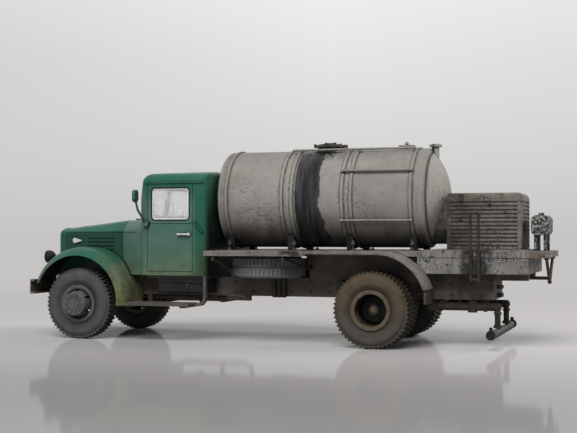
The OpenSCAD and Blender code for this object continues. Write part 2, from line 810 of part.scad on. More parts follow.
module deck_plate() {
  color(grey) block([x_joint, -deck_half, deck_z], [x_cab - 1.9, deck_half, deck_top]);
}

// Length of the catwalk that is thinned ahead of each mudguard
guard_thin = 22.6;

module catwalks() {
  y0 = deck_half + seat;
  t = 0.95;
  groove = 0.18;
  color(grey) both_sides() {
    difference() {
      block([guard_x - 0.02, y0, deck_z], [x_cab - 1.9, walk_edge, deck_top]);
      // Shallow grooves along the walk
      for (y = [y0 + 3.4, y0 + 7.2])
        block([guard_x - 1, y, deck_top - groove], [x_cab, y + 0.5, deck_top + 1]);
      // Underside thinned to the mudguard over the wheel
      block([guard_x - 1, y0 - 1, deck_z - 1], [guard_x + guard_thin, walk_edge + 1, deck_top - t]);
    }
    translate([guard_x, 0, guard_z]) rotate([90, 0, 0]) rotate([0, 0, 90]) mirror([0, 0, 1])
      rotate_extrude(angle = guard_turn) polygon([
        [guard_r - t, y0], [guard_r, y0],
        [guard_r, y0 + 3.4], [guard_r - groove, y0 + 3.4], [guard_r - groove, y0 + 3.9], [guard_r, y0 + 3.9],
        [guard_r, y0 + 7.2], [guard_r - groove, y0 + 7.2], [guard_r - groove, y0 + 7.7], [guard_r, y0 + 7.7],
        [guard_r, walk_edge], [guard_r - t, walk_edge]
      ]);
  }
}

module mud_flaps() {
  a = 90 - guard_turn;
  x = guard_x - (guard_r - 0.6) * cos(a);
  z = guard_z + (guard_r - 0.6) * sin(a);
  color(dark) both_sides() {
    block([x - 0.3, deck_half + 1, z - 4.4], [x + 0.3, walk_edge - 0.6, z - 0.75]);
    // Ribs on the back
    for (y = [deck_half + 2.5 : 2.2 : walk_edge - 1.5]) block([x - 0.55, y, z - 4.2], [x - 0.2, y + 0.7, z - 0.9]);
  }
}

module catwalk_brackets() {
  r = 0.38;
  z = deck_z - 4.2;
  top = deck_z - r - seat;
  color(dark) both_sides() {
    for (x = [[spare_x - 9.9, spare_x - 13.7], [x_cab - 4.6, x_cab - 4.6]]) {
      rod([x[0], walk_edge - 1.4, top - 0.4], [x[1], spare_y + 0.4, z], r);
      rod([x[1], frame_half, z], [x[1], spare_y + 0.4, z], r);
      rod([x[1], spare_y + 0.4, z - 0.6], [x[1], spare_y + 0.4, deck_z - seat], r + 0.12);
      rod([x[0], walk_edge - 1.4, top - 1.1], [x[0], walk_edge - 1.4, deck_z - seat], r + 0.12);
    }
  }
}

module subframe_beams() {
  x0 = x_skirt + 1 + seat;
  color(dark) {
    both_sides() block([x0, frame_half - 2, frame_top], [spare_x - 12.9, frame_half, deck_z]);
    // Front bearer ahead of the spare wheel
    block([x_cab - 5.4, -frame_half, frame_top], [x_cab - 3.7, frame_half, deck_z]);
    // Bearer behind the spare wheel
    block([spare_x - 14.4, -frame_half + 2 + seat, frame_top + 2], [spare_x - 13, frame_half - 2 - seat, deck_z]);
  }
}

platform_top = deck_top + 0.4;

module rear_platform() {
  x1 = x_joint - seat;
  skirt_x = guard_x - 11.3;
  color(grey) {
    difference() {
      union() {
        block([x_tail, -deck_half, deck_z - 0.3], [x_house_back - 1.5, deck_half, deck_top]);
        block([x_house_back - 1.6, -deck_half, deck_z - 0.3], [x1, deck_half, platform_top]);
        // Skirts behind the mudguards
        both_sides() block([x_skirt, deck_half - 1.2, deck_z - 5.4], [skirt_x, deck_half, deck_z]);
        block([x_skirt, -deck_half, deck_z - 5.4], [x_skirt + 1, deck_half, deck_z]);
      }
      // Groove between rail and skirt
      both_sides() block([x_tail - 1, deck_half - 0.25, deck_z - 0.55], [x1 + 1, deck_half + 1, deck_z - 0.3]);
      // Room for the beams
      both_sides()
        block([x_skirt + 1, frame_half - 2 - seat, deck_z - 1], [x1 + 1, frame_half + seat, deck_z]);
    }
  }
}

// Dished end as [radius, x] points from the middle to the edge
function dish(r, h) = let (s = (r * r + h * h) / (2 * h)) arc([0, h - s], s, 90, 90 - asin(r / s), 8);

module tank_solid() {
  r = tank_r;
  translate([x_tank_back, 0, tank_z]) turned_x() polygon(concat(
    [for (p = dish(r - 0.8, dish_h)) [p.x, -p.y]],
    [[r - 0.25, 0], [r, 0.3], [r, tank_l - 0.3], [r - 0.3, tank_l]],
    [[r - 1.2, tank_l], [r - 1.6, tank_l - 0.8], [0, tank_l - 0.8]]
  ));
}

module tank_shell() {
  color(grey) tank_solid();
}

module tank_straps() {
  color(grey) for (x = straps)
    translate([x, 0, tank_z]) turned_x() translate([tank_r + 0.02, -0.45]) square([strap_t, 0.9]);
}

module tank_side_rails() {
  r = 0.42;
  lug_r = r + 0.12;
  out = tank_r + strap_t + lug_r + 2 * seat;
  x0 = straps[5] - 0.5;
  x1 = straps[3] + 0.5;
  xt = straps[1] - 1;
  color(dark) {
    both_sides() for (a = [30, -25.5])
      {
        rod([x0, out * cos(a), tank_z + out * sin(a)], [x1, out * cos(a), tank_z + out * sin(a)], r);
        for (x = [x0, x1 - 0.9])
          translate([x, out * cos(a), tank_z + out * sin(a)]) rotate([0, 90, 0]) cylinder(h = 0.9, r = lug_r);
      }
    // Hand rails beside the hatch
    both_sides() {
      y = 6.4;
      z = tank_z + sqrt(tank_r * tank_r - y * y);
      rod([x0 + 0.6, y, z + 1.2], [xt, y, z + 1.2], 0.35);
      for (x = [x0 + 1.4, straps[4] - 1.4, xt - 1])
        difference() {
          rod([x, y, z - 1], [x, y, z + 1.2], 0.35);
          rod([x - 2, 0, tank_z], [x + 2, 0, tank_z], tank_r + 0.02);
        }
    }
  }
}

module tank_saddles() {
  cut = tank_r + strap_t + 0.04;
  color(dark) for (x = [straps[0], (straps[1] + straps[2]) / 2, (straps[3] + straps[4]) / 2, straps[5]])
    difference() {
      both_sides() block([x - 1.1, 9, deck_top], [x + 1.1, 11.6, deck_top + 6]);
      rod([x - 5, 0, tank_z], [x + 5, 0, tank_z], cut);
    }
}

// Flat hatch lid on a low neck, with a hinge and swing bolts around it
module tank_hatch() {
  x = x_hatch;
  top = tank_z + tank_r;
  color(rubber) difference() {
    union() {
      translate([x, 0, top - 2]) cylinder(h = 3.2, r = hatch_r - 1);
      translate([x, 0, top + 1.1]) cylinder(h = 0.7, r = hatch_r);
      translate([x, 0, top + 1.7]) cylinder(h = 0.4, r = hatch_r - 1.2);
      for (a = [30:60:330])
        translate([x, 0, top + 0.9]) rotate([0, 0, a]) translate([hatch_r + 0.05, 0, 0]) cylinder(h = 1.3, r = 0.42);
      rod([x - 1.6, -0.9, top + 2.5], [x + 1.6, -0.9, top + 2.5], 0.28);
      for (d = [-1.6, 1.6]) rod([x + d, -0.9, top + 1.9], [x + d, -0.9, top + 2.9], 0.4);
      block([x - hatch_r - 1, -0.9, top + 0.6], [x - hatch_r + 0.8, 0.9, top + 1.9]);
    }
    rod([x - 9, 0, tank_z], [x + 9, 0, tank_z], tank_r + 0.02);
  }
}

// Flat cap with a knob over the heater, and a vent with a lid at the tank's back edge
module tank_caps() {
  top = tank_z + tank_r;
  x = x_cap;
  xv = x_tank_back - 0.9;
  color(grey) difference() {
    union() {
      translate([x, 0, top - 1]) cylinder(h = 1.7, r = 2);
      translate([x, 0, top + 0.6]) cylinder(h = 0.6, r = 2.8);
      translate([x, 0, top + 1.1]) cylinder(h = 0.9, r = 0.5);
      translate([x, 0, top + 1.8]) sphere(r = 0.65, $fn = 24);
      translate([xv, 0, top - 3.2]) cylinder(h = 4, r = 1.25);
      translate([xv, 0, top + 0.5]) cylinder(h = 0.7, r = 2.1);
      translate([xv, 0, top + 1.1]) cylinder(h = 0.3, r = 1.4);
    }
    translate([-seat, 0, 0]) tank_solid();
    translate([0, 0, 0.02]) tank_solid();
  }
}

module burner_flange() {
  z = tank_z - 7.5;
  color(rubber) difference() {
    rod([x_house + 0.25, 0, z], [x_tank_back - 0.5, 0, z], 7.9);
    translate([-seat, 0, 0]) tank_solid();
  }
}

module engine_housing() {
  z0 = platform_top;
  pitch = 1.28;
  ribs = floor((house_h - 2.6) / pitch);
  color(grey) difference() {
    intersection() {
      along_y(-house_half, house_half) polygon(rounded([
        [x_house_back, z0, 0], [x_house, z0, 0], [x_house, z0 + house_h, 0.7], [x_house_back, z0 + house_h, 2]
      ]));
      along_x(x_house_back, x_house) polygon(rounded([
        [-house_half, z0, 0], [house_half, z0, 0], [house_half, z0 + house_h, 1.6], [-house_half, z0 + house_h, 1.6]
      ]));
    }
    // Pressed ribs along both sides and across the back
    for (i = [0:ribs - 1]) translate([0, 0, z0 + 1 + pitch * i]) {
      both_sides() block([x_house_back + 1.6, house_half - 0.3, 0], [x_house - 1.2, house_half + 1, 0.55]);
      block([x_house_back - 1, -house_half + 1.6, 0], [x_house_back + 0.3, house_half - 1.6, 0.55]);
    }
  }
}

module side_guards() {
  x = x_house - 0.39 * house_l;
  d = 2.5;
  y = deck_half + 0.5;
  z0 = frame_top;
  z1 = deck_top + 12;
  r = 0.45;
  color(dark) both_sides() {
    for (e = [0, d]) {
      rod([x - e, y, z0], [x - e, y, z1], r);
      translate([x - e, y, z1]) sphere(r = r, $fn = 24);
    }
    rod([x, y, z1], [x - d, y, z1], r);
    rod([x, y, z0 + 0.6], [x - d, y, z0 + 0.6], r);
  }
}

module fuel_drum() {
  x = x_tail + 3.4;
  z = deck_top + 8.3;
  color(dark) {
    along_y(-7, 6.4) polygon(box_outline(x - 2.75, z - 3.1, x + 2.75, z + 3.1, 1.6));
    both_sides() along_y(5.2, 5.7) polygon(box_outline(x - 2.9, z - 3.25, x + 2.9, z + 3.25, 1.75));
    translate([x, 2, z + 2.9]) cylinder(h = 1.1, r = 0.9);
    // Four legs on the platform
    for (dx = [-1.5, 1.5], y = [-4.6, 4.6])
      rod([x + dx, y, deck_top], [x + dx, y, z - 2.4], 0.55);
  }
}

module rear_step() {
  x = x_tail + 1;
  z = frame_top - 0.6;
  bar = frame_top + 0.6;
  y = frame_half - 0.6;
  r = 0.5;
  color(dark) {
    both_sides() rod([x, y, deck_z - 0.8], [x, 0, z], r);
    translate([x, 0, z]) sphere(r = 0.7, $fn = 24);
    rod([x, 0, bar], [x_end - 4.2, 0, bar], 0.56);
    rod([x_end - 4.2, 0, bar], [x_end - 0.8, 0, bar], 0.9);
    both_sides() rod([x, y, deck_z - 0.9], [x, y, deck_z - 0.3], 0.9);
  }
}

pipe_y = 10;
pipe_z = tyre_r + 0.6;

// Spray bar with end caps and nozzles
module spray_bar() {
  color(steel) {
    rod([x_bar, -bar_half, bar_z], [x_bar, bar_half, bar_z], bar_r);
    both_sides() {
      rod([x_bar, bar_half - 1.6, bar_z], [x_bar, bar_half + 0.4, bar_z], bar_r + 0.4);
      rod([x_bar, bar_half - 0.6, bar_z], [x_bar, bar_half - 0.6, bar_z + bar_r + 1.3], 0.55);
    }
    // Nozzles
    for (y = [-bar_half + 2.5 : 2.5 : bar_half - 2.4])
      rod([x_bar, y, bar_z - bar_r - 0.5], [x_bar, y, bar_z], 0.4);
  }
}

module spray_pipes() {
  r = 0.95;
  header = 1.3;
  x0 = x_ra - 17.5;
  xv = x_bar + 8;
  top = bar_z + bar_r;
  color(dark) both_sides() {
    rod([x_bar, pipe_y, top + seat], [x_bar, pipe_y, pipe_z], r);
    rod([x_bar, pipe_y, top + seat], [x_bar, pipe_y, top + 1], r + 0.4);
    rod([x_bar, pipe_y, pipe_z - header - 1], [x_bar, pipe_y, pipe_z - header - 0.3], r + 0.3);
    translate([x_bar, pipe_y, pipe_z]) sphere(r = header);
    rod([x_bar, pipe_y, pipe_z], [x0, pipe_y, pipe_z], header);
    rod([x_bar + 3.4, pipe_y, pipe_z], [x_bar + 4.4, pipe_y, pipe_z], header + 0.3);
    // Valve with its stem and lever
    translate([xv, pipe_y, pipe_z - header - 0.5]) cylinder(h = 2 * header + 0.9, r = 1.5);
    translate([xv, pipe_y, pipe_z]) cylinder(h = header + 0.7, r = 0.5);
    rod([xv - 1.4, pipe_y, pipe_z + header + 0.35], [xv + 1.2, pipe_y, pipe_z + header + 0.45], 0.3);
    // Hangers up to the frame
    for (x = [x_ra - 24.5, x_ra - 33.5])
      rod([x, pipe_y - 1, pipe_z], [x, pipe_y - 1, frame_z], 0.4);
  }
}

module bitumen_pump() {
  x = x_ra - 14.5;
  color(dark) {
    rod([x, -5.5, pipe_z], [x, 5.5, pipe_z], 2.4);
    block([x - 3, -8, pipe_z - 1.4], [x + 1, 8, pipe_z + 1.4]);
    both_sides() rod([x - 1.5, 7.5, pipe_z], [x - 1.5, pipe_y + 1.4, pipe_z], 1.4);
    both_sides() block([x - 2.4, 8.2, pipe_z], [x - 0.6, 9.2, frame_z]);
  }
}

// Outline of a ring of lugs, each between two radii, turned by a share of one pitch
function lug_ring(r0, r1, shift) = [
  for (i = [0:tyre_lugs - 1], k = [[r0, 0], [r1, 0.12], [r1, 0.48], [r0, 0.6]])
    let (a = (i + k[1] + shift) * 360 / tyre_lugs) k[0] * [cos(a), sin(a)]
];

// Tyre about the Y axis at its own middle, with two rows of lugs set half a pitch apart
module tyre() {
  h = tyre_w / 2;
  root = tyre_r - lug_h;
  tread = root - 0.12;
  turned_y() polygon([
    [bead_r, -rim_w / 2 + 0.9],
    [bead_r + 0.9, -rim_w / 2 + 0.4],
    [bead_r + 2.2, -h + 0.1],
    [bead_r + 4, -h],
    [tyre_r - 1.5, -h + 0.25],
    [tread, -h + 1.1],
    [tread, h - 1.1],
    [tyre_r - 1.5, h - 0.25],
    [bead_r + 4, h],
    [bead_r + 2.2, h - 0.1],
    [bead_r + 0.9, rim_w / 2 - 0.4],
    [bead_r, rim_w / 2 - 0.9]
  ]);
  for (side = [0, 1])
    mirror([0, side, 0]) along_y(0.15, h - 0.7) difference() {
      polygon(lug_ring(root, tyre_r, side / 2));
      circle(r = tread - 1.2);
    }
}

// Rim barrel outline with both flanges, closed by the web points given in between
function rim_half() = [
  [bead_r - seat, -rim_w / 2 + 0.35],
  [bead_r + 0.55, -rim_w / 2 + 0.35],
  [bead_r + 0.55, -rim_w / 2],
  [bead_r - 0.75, -rim_w / 2]
];
function rim_outer() = [
  [bead_r - 0.75, rim_w / 2],
  [bead_r + 0.55, rim_w / 2],
  [bead_r + 0.55, rim_w / 2 - 0.35],
  [bead_r - seat, rim_w / 2 - 0.35]
];

// Front wheel: steep disc with hand holes, and a hub plate with nuts that stands out past the tyre
module front_wheel() {
  bore = pin_r + wheel_play;
  depth = front_pin_end - front_track / 2 + side_play;
  barrel = bead_r - 0.75;
  plate = front_hub_out;
  difference() {
    turned_y() polygon(concat(
      rim_half(),
      [
        [barrel, 0.2], [barrel - 0.5, 1], [plate_r - 0.9, plate - 0.9], [2, plate - 0.9],
        [2, -rim_w / 2], [bore, -rim_w / 2],
        [bore, depth], [0, depth], [0, plate + 0.15], [2, plate + 0.15], [2, plate], [plate_r - 0.2, plate],
        [plate_r, plate - 0.25], [barrel - 0.1, 2], [barrel, 1.2]
      ],
      rim_outer()
    ));
    for (i = [0:hand_holes - 1])
      rotate([0, (i + 0.5) * 360 / hand_holes, 0]) rod([barrel - 0.55, -1, 0], [barrel - 0.55, plate, 0], 0.55);
  }
  for (i = [0:wheel_nuts - 1])
    rotate([0, i * 360 / wheel_nuts, 0])
      rod([plate_r - 1.15, plate - 0.2, 0], [plate_r - 1.15, plate + 0.35, 0], 0.32);
}

// Twin wheels about the Y axis, the outer one towards plus Y, its hub deep in the dish
module twin_wheels() {
  bore = pin_r + wheel_play;
  depth = rear_pin_end - (rear_track + twin_pitch) / 2 + side_play;
  h = rim_w / 2;
  o = twin_pitch / 2;
  barrel = bead_r - 0.75;
  translate([0, -o, 0]) turned_y() polygon(concat(
    rim_half(),
    [
      [barrel, 1.6], [barrel - 0.5, 1.2], [3.6, 0.2], [2, 0.2], [2, -h], [bore, -h], [bore, twin_pitch - h],
      [2, twin_pitch - h], [2, 1], [3.8, 1], [barrel - 0.1, 2], [barrel, 2.4]
    ],
    rim_outer()
  ));
  translate([0, o, 0]) {
    difference() {
      turned_y() polygon(concat(
        rim_half(),
        [
          [2, -h], [bore, -h], [bore, depth], [0, depth], [0, depth + 0.9], [0.8, depth + 0.9],
          [1, depth + 0.6], [1.5, depth + 0.5],
          [1.7, depth + 0.8], [2.1, depth + 0.8], [2.2, depth - 0.1], [3.9, depth - 0.2],
          [barrel - 0.1, depth - 0.7], [barrel, depth - 0.4]
        ],
        rim_outer()
      ));
      for (i = [0:hand_holes - 1])
        rotate([0, (i + 0.5) * 360 / hand_holes, 0]) rod([barrel - 0.75, -h - 1, 0], [barrel - 0.75, 0, 0], 0.5);
    }
    for (i = [0:wheel_nuts - 1])
      rotate([0, i * 360 / wheel_nuts, 0]) rod([3.1, depth - 0.6, 0], [3.1, depth + 0.3, 0], 0.32);
  }
}

module spare_tyre() {
  color(rubber) translate([spare_x, spare_y, spare_z]) rotate([90, 0, 0]) tyre();
}

module spare_wheel() {
  h = rim_w / 2;
  color(grey) translate([spare_x, spare_y, spare_z]) {
    rotate([90, 0, 0]) difference() {
      turned_y() polygon(concat(
        rim_half(),
        [
          [bead_r - 0.75, 0.6], [4.6, 1.1], [3.9, 1.5], [1.4, 1.5],
          [1.4, 2.3], [3.9, 2.3], [4.9, 1.7], [bead_r - 0.75, 1.4]
        ],
        rim_outer()
      ));
    }
  }
}

module at_front(side) {
  translate([x_fa, side * front_track / 2, tyre_r]) mirror([0, side > 0 ? 0 : 1, 0]) children();
}

module at_rear(side) {
  translate([x_ra, side * rear_track / 2, tyre_r]) mirror([0, side > 0 ? 0 : 1, 0]) children();
}

module twin_tyres() {
  for (s = [-1, 1]) translate([0, s * twin_pitch / 2, 0]) tyre();
}

module tyre_front_left() {
  color(rubber) at_front(1) tyre();
}

module tyre_front_right() {
  color(rubber) at_front(-1) tyre();
}

module wheel_front_left() {
  color(grey) at_front(1) front_wheel();
}

module wheel_front_right() {
  color(grey) at_front(-1) front_wheel();
}

module tyres_rear_left() {
  color(rubber) at_rear(1) twin_tyres();
}

module tyres_rear_right() {
  color(rubber) at_rear(-1) twin_tyres();
}

module wheels_rear_left() {
  color(grey) at_rear(1) twin_wheels();
}

module wheels_rear_right() {
  color(grey) at_rear(-1) twin_wheels();
}

frame_rails();
cross_members();
front_bumper();
front_axle();
rear_axle();
leaf_springs();
engine_and_gearbox();
propeller_shaft();
exhaust_pipe();
bonnet();
radiator_grille();
front_fenders();
cab_shell();
cab_roof();
cab_glazing();
cab_interior();
dashboard();
mirrors();
door_handles();
bonnet_latches();
grab_handles();
headlamp_shells();
headlamp_lenses();
running_boards();
side_boxes();
rail_bracket();
fuel_tank();
deck_plate();
catwalks();
mud_flaps();
catwalk_brackets();
subframe_beams();
rear_platform();
tank_shell();
tank_straps();
tank_side_rails();
tank_saddles();
tank_hatch();
tank_caps();
burner_flange();
engine_housing();
side_guards();
fuel_drum();
rear_step();
spray_bar();
spray_pipes();
bitumen_pump();
spare_tyre();
spare_wheel();
tyre_front_left();
tyre_front_right();
wheel_front_left();
wheel_front_right();
tyres_rear_left();
tyres_rear_right();
wheels_rear_left();
wheels_rear_right();
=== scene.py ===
"""Looks of a weathered scale model of a bitumen distributor truck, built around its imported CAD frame.

Lengths are in metres in the CAD frame: X forward, Y to the truck's left, Z up, the ground at zero.
"""
import json
import math

import bmesh
import bpy
from mathutils import Matrix, Vector


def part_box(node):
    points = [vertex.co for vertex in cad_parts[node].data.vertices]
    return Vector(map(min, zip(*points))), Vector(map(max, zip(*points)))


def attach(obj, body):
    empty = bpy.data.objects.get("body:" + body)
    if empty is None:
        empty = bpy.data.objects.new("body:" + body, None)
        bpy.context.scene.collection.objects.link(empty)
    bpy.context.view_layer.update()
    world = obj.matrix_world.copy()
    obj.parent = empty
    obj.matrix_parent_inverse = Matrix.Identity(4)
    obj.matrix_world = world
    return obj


MM = 0.001

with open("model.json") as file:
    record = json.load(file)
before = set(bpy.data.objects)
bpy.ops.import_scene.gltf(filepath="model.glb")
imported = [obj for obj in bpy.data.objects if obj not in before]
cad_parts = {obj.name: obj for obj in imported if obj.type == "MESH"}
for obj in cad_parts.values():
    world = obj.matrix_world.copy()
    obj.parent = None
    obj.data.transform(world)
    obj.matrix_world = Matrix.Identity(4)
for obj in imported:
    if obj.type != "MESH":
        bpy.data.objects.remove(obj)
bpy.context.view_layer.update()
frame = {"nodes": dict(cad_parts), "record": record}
nodes = frame["nodes"]
scene = bpy.context.scene
scene.view_settings.view_transform = "Standard"

# Boxes of CAD nodes, each as its low and high corner
strap_low, strap_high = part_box("tank_straps")
house_low, house_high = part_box("engine_housing")
hatch_low, hatch_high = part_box("tank_hatch")
cab_low, cab_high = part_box("cab_shell")
rail_low, rail_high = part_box("frame_rails")
guard_low, guard_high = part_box("side_guards")
rear_tyre_low, rear_tyre_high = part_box("tyres_rear_left")
front_tyre_low, front_tyre_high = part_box("tyre_front_left")

# The tank with the middles of its straps, and the axles as places in X and Z
TANK_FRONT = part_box("tank_shell")[1][0]
TANK_LENGTH = 71 * MM
TANK_BACK = TANK_FRONT - TANK_LENGTH
TANK_Z = (strap_high[2] + strap_low[2]) / 2
STRAP_SHARES = (0.044, 0.323, 0.372, 0.618, 0.66, 0.941)
STRAPS = [TANK_FRONT - share * TANK_LENGTH for share in STRAP_SHARES]
HATCH_X = (hatch_low[0] + hatch_high[0]) / 2
REAR_AXLE = ((rear_tyre_low[0] + rear_tyre_high[0]) / 2, rear_tyre_high[2] / 2)
FRONT_AXLE = ((front_tyre_low[0] + front_tyre_high[0]) / 2, front_tyre_high[2] / 2)

# Edges and lines of the cab, the deck and the tail. CAB_HALF is half the width over the doors, and the box is
# a little wider.
CAB_BACK = cab_low[0]
CAB_FOOT = cab_low[2]
CAB_HALF = cab_high[1] - 0.35 * MM
ROOF_SEAM = cab_high[2]
COWL_X = cab_high[0]
CREASE_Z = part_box("bonnet")[1][2] - 4.3 * MM
FENDER_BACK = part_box("front_fenders")[0][0]
DECK_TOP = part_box("deck_plate")[1][2]
GUARD_X = (guard_low[0] + guard_high[0]) / 2
PLATFORM_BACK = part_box("rear_platform")[0][0]
BAR_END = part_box("spray_bar")[1][1]


# Node tree helpers

class Tree:
    """Short calls for a material's node tree."""

    def __init__(self, name):
        self.material = bpy.data.materials.new(name)
        self.material.use_nodes = True
        self.tree = self.material.node_tree
        self.shader = self.tree.nodes["Principled BSDF"]
        coords = self.tree.nodes.new("ShaderNodeTexCoord")
        self.place = coords.outputs["Object"]

    def node(self, kind, **settings):
        """A new node with its settings."""
        made = self.tree.nodes.new(kind)
        for key, value in settings.items():
            setattr(made, key, value)
        return made

    def feed(self, socket, value):
        """Link a socket to an input, or set a plain value or colour on it."""
        if isinstance(value, bpy.types.NodeSocket):
            self.tree.links.new(value, socket)
        elif isinstance(value, tuple) and len(value) == 3 and socket.type == "RGBA":
            socket.default_value = (*value, 1)
        else:
            socket.default_value = value

    def scaled(self, x, y, z):
        """Object coordinates stretched per axis."""
        made = self.node("ShaderNodeMapping")
        self.feed(made.inputs["Vector"], self.place)
        made.inputs["Scale"].default_value = (x, y, z)
        return made.outputs["Vector"]

    def noise(self, scale, detail=4, rough=0.55, place=None):
        """Cloudy noise, with its scale in waves per metre."""
        made = self.node("ShaderNodeTexNoise")
        self.feed(made.inputs["Vector"], place or self.place)
        made.inputs["Scale"].default_value = scale
        made.inputs["Detail"].default_value = detail
        made.inputs["Roughness"].default_value = rough
        return made.outputs["Fac"]

    def ramp(self, value, low, high, to_low=0.0, to_high=1.0, smooth=True):
        """A value carried from one range to another, and held past its ends."""
        made = self.node("ShaderNodeMapRange")
        made.interpolation_type = "SMOOTHSTEP" if smooth else "LINEAR"
        self.feed(made.inputs["Value"], value)
        made.inputs["From Min"].default_value = low
        made.inputs["From Max"].default_value = high
        made.inputs["To Min"].default_value = to_low
        made.inputs["To Max"].default_value = to_high
        return made.outputs["Result"]

    def math(self, kind, a, b=0.5, clamp=False):
        """One step of arithmetic."""
        made = self.node("ShaderNodeMath", operation=kind, use_clamp=clamp)
        self.feed(made.inputs[0], a)
        self.feed(made.inputs[1], b)
        return made.outputs[0]

    def times(self, first, *others):
        """The product of values."""
        for other in others:
            first = self.math("MULTIPLY", first, other)
        return first

    def mix(self, amount, a, b):
        """A colour between two, by an amount from zero to one."""
        made = self.node("ShaderNodeMix", data_type="RGBA")
        self.feed(made.inputs["Factor"], amount)
        self.feed(made.inputs["A"], a)
        self.feed(made.inputs["B"], b)
        return made.outputs["Result"]

    def axis(self, letter):
        """The object coordinate along an axis."""
        made = self.node("ShaderNodeSeparateXYZ")
        self.feed(made.inputs[0], self.place)
        return made.outputs[letter]

    def near(self, value, centre, inner, outer):
        """One where a value is within inner of a centre, and zero past outer."""
        away = self.math("ABSOLUTE", self.math("SUBTRACT", value, centre))
        return self.ramp(away, inner, outer, 1, 0)

    def from_axle(self, axle):
        """Distance from an axle that runs along Y."""
        across = self.math("SUBTRACT", self.axis("X"), axle[0])
        up = self.math("SUBTRACT", self.axis("Z"), axle[1])
        return self.math("SQRT", self.math("ADD", self.times(across, across), self.times(up, up)))

    def facing(self, letter):
        """How far the surface points along an axis."""
        geometry = self.node("ShaderNodeNewGeometry")
        made = self.node("ShaderNodeSeparateXYZ")
        self.feed(made.inputs[0], geometry.outputs["Normal"])
        return made.outputs[letter]

    def crevice(self, distance):
        """One in open places and zero deep in corners and grooves."""
        made = self.node("ShaderNodeAmbientOcclusion", samples=6)
        made.inputs["Distance"].default_value = distance
        return made.outputs["AO"]

    def edges(self, radius):
        """One along sharp outer edges."""
        bevel = self.node("ShaderNodeBevel", samples=6)
        bevel.inputs["Radius"].default_value = radius
        geometry = self.node("ShaderNodeNewGeometry")
        dot = self.node("ShaderNodeVectorMath", operation="DOT_PRODUCT")
        self.feed(dot.inputs[0], bevel.outputs["Normal"])
        self.feed(dot.inputs[1], geometry.outputs["Normal"])
        return self.ramp(dot.outputs["Value"], 0.8, 0.97, 1, 0)

    def bump(self, height, strength, distance, round_edge=0.12 * MM):
        """Fine relief on a surface whose edges are softly rounded."""
        made = self.node("ShaderNodeBump")
        bevel = self.node("ShaderNodeBevel", samples=4)
        bevel.inputs["Radius"].default_value = round_edge
        self.feed(made.inputs["Height"], height)
        self.feed(made.inputs["Normal"], bevel.outputs["Normal"])
        made.inputs["Strength"].default_value = strength
        made.inputs["Distance"].default_value = distance
        self.feed(self.shader.inputs["Normal"], made.outputs["Normal"])

    def finish(self, colour, rough, metal=0.0, gloss=0.22):
        """Feed the shader and return the material."""
        self.feed(self.shader.inputs["Base Color"], colour)
        self.feed(self.shader.inputs["Roughness"], rough)
        self.shader.inputs["Specular IOR Level"].default_value = gloss
        self.shader.inputs["Metallic"].default_value = metal
        return self.material


# Materials

# Colours that several looks share, in linear red, green and blue
DUST = (0.2, 0.172, 0.13)
OLIVE = (0.16, 0.158, 0.05)
# Dark grime, also painted shade where the corner wash uses it
GRIME_AND_SHADE = (0.022, 0.019, 0.016)
RUST = (0.085, 0.047, 0.028)
BITUMEN = (0.012, 0.012, 0.0125)
# Dark seams, also painted shade in corners where the wash uses them
SEAM_AND_SHADE_GREEN = (0.003, 0.01, 0.008)
SEAM_AND_SHADE_BROWN = (0.035, 0.024, 0.018)
# Painted shade, near black, deep in the wheels' holes and hubs
HUB_SHADE = (0.004, 0.004, 0.004)
DECK_EDGE = (0.42, 0.4, 0.37)
TANK_EDGE = (0.4, 0.38, 0.35)
PIPE_EDGE = (0.36, 0.34, 0.31)


def coat(name, base, faded, patch=130, streaks=0.2, streak_reach=45):
    """Start of a painted look: faded patches and run marks. Returns the tree and its colour."""
    t = Tree(name)
    patches = t.ramp(t.noise(patch, 5), 0.35, 0.68)
    colour = t.mix(patches, base, faded)
    runs = t.ramp(t.noise(1, 5, place=t.scaled(700, 700, streak_reach)), 0.52, 0.75)
    return t, t.mix(t.times(runs, streaks), colour, GRIME_AND_SHADE)


def dusted(t, colour, dust, low, high, amount):
    """Dust that fades out with height."""
    height = t.ramp(t.axis("Z"), low, high, 1, 0)
    patchy = t.ramp(t.noise(300, 5), 0.25, 0.7, 0.4, 1)
    return t.mix(t.times(height, patchy, amount), colour, dust)


def wash_and_shade(t, colour, size, amount, dark=GRIME_AND_SHADE):
    """Dark wash and painted shade in corners, grooves and seams, by how closed in each point is."""
    corner = t.ramp(t.crevice(size), 0.4, 0.97, 1, 0)
    return t.mix(t.times(corner, amount), colour, dark)


def chipped(t, colour, chip, amount, scale=1500, spread=120, low=0.64):
    """Small chips or specks in loose clusters."""
    dots = t.ramp(t.noise(scale, 3, 0.5), low, low + 0.03)
    clusters = t.ramp(t.noise(spread, 3), 0.42, 0.62)
    return t.mix(t.times(dots, clusters, amount), colour, chip)


def painted(t, colour, rough, grain=0.05, edge=None, edge_amount=0.35, gloss=0.22):
    """Finish of a painted look: worn edges, grain and uneven gloss."""
    if edge:
        worn = t.times(t.edges(0.22 * MM), t.ramp(t.noise(900, 4), 0.35, 0.65), edge_amount)
        colour = t.mix(worn, colour, edge)
    t.bump(t.math("ADD", t.noise(2600, 3), t.noise(420, 4)), grain, 0.2 * MM)
    return t.finish(colour, t.ramp(t.noise(420, 4), 0.3, 0.7, rough - 0.1, rough + 0.12), gloss=gloss)


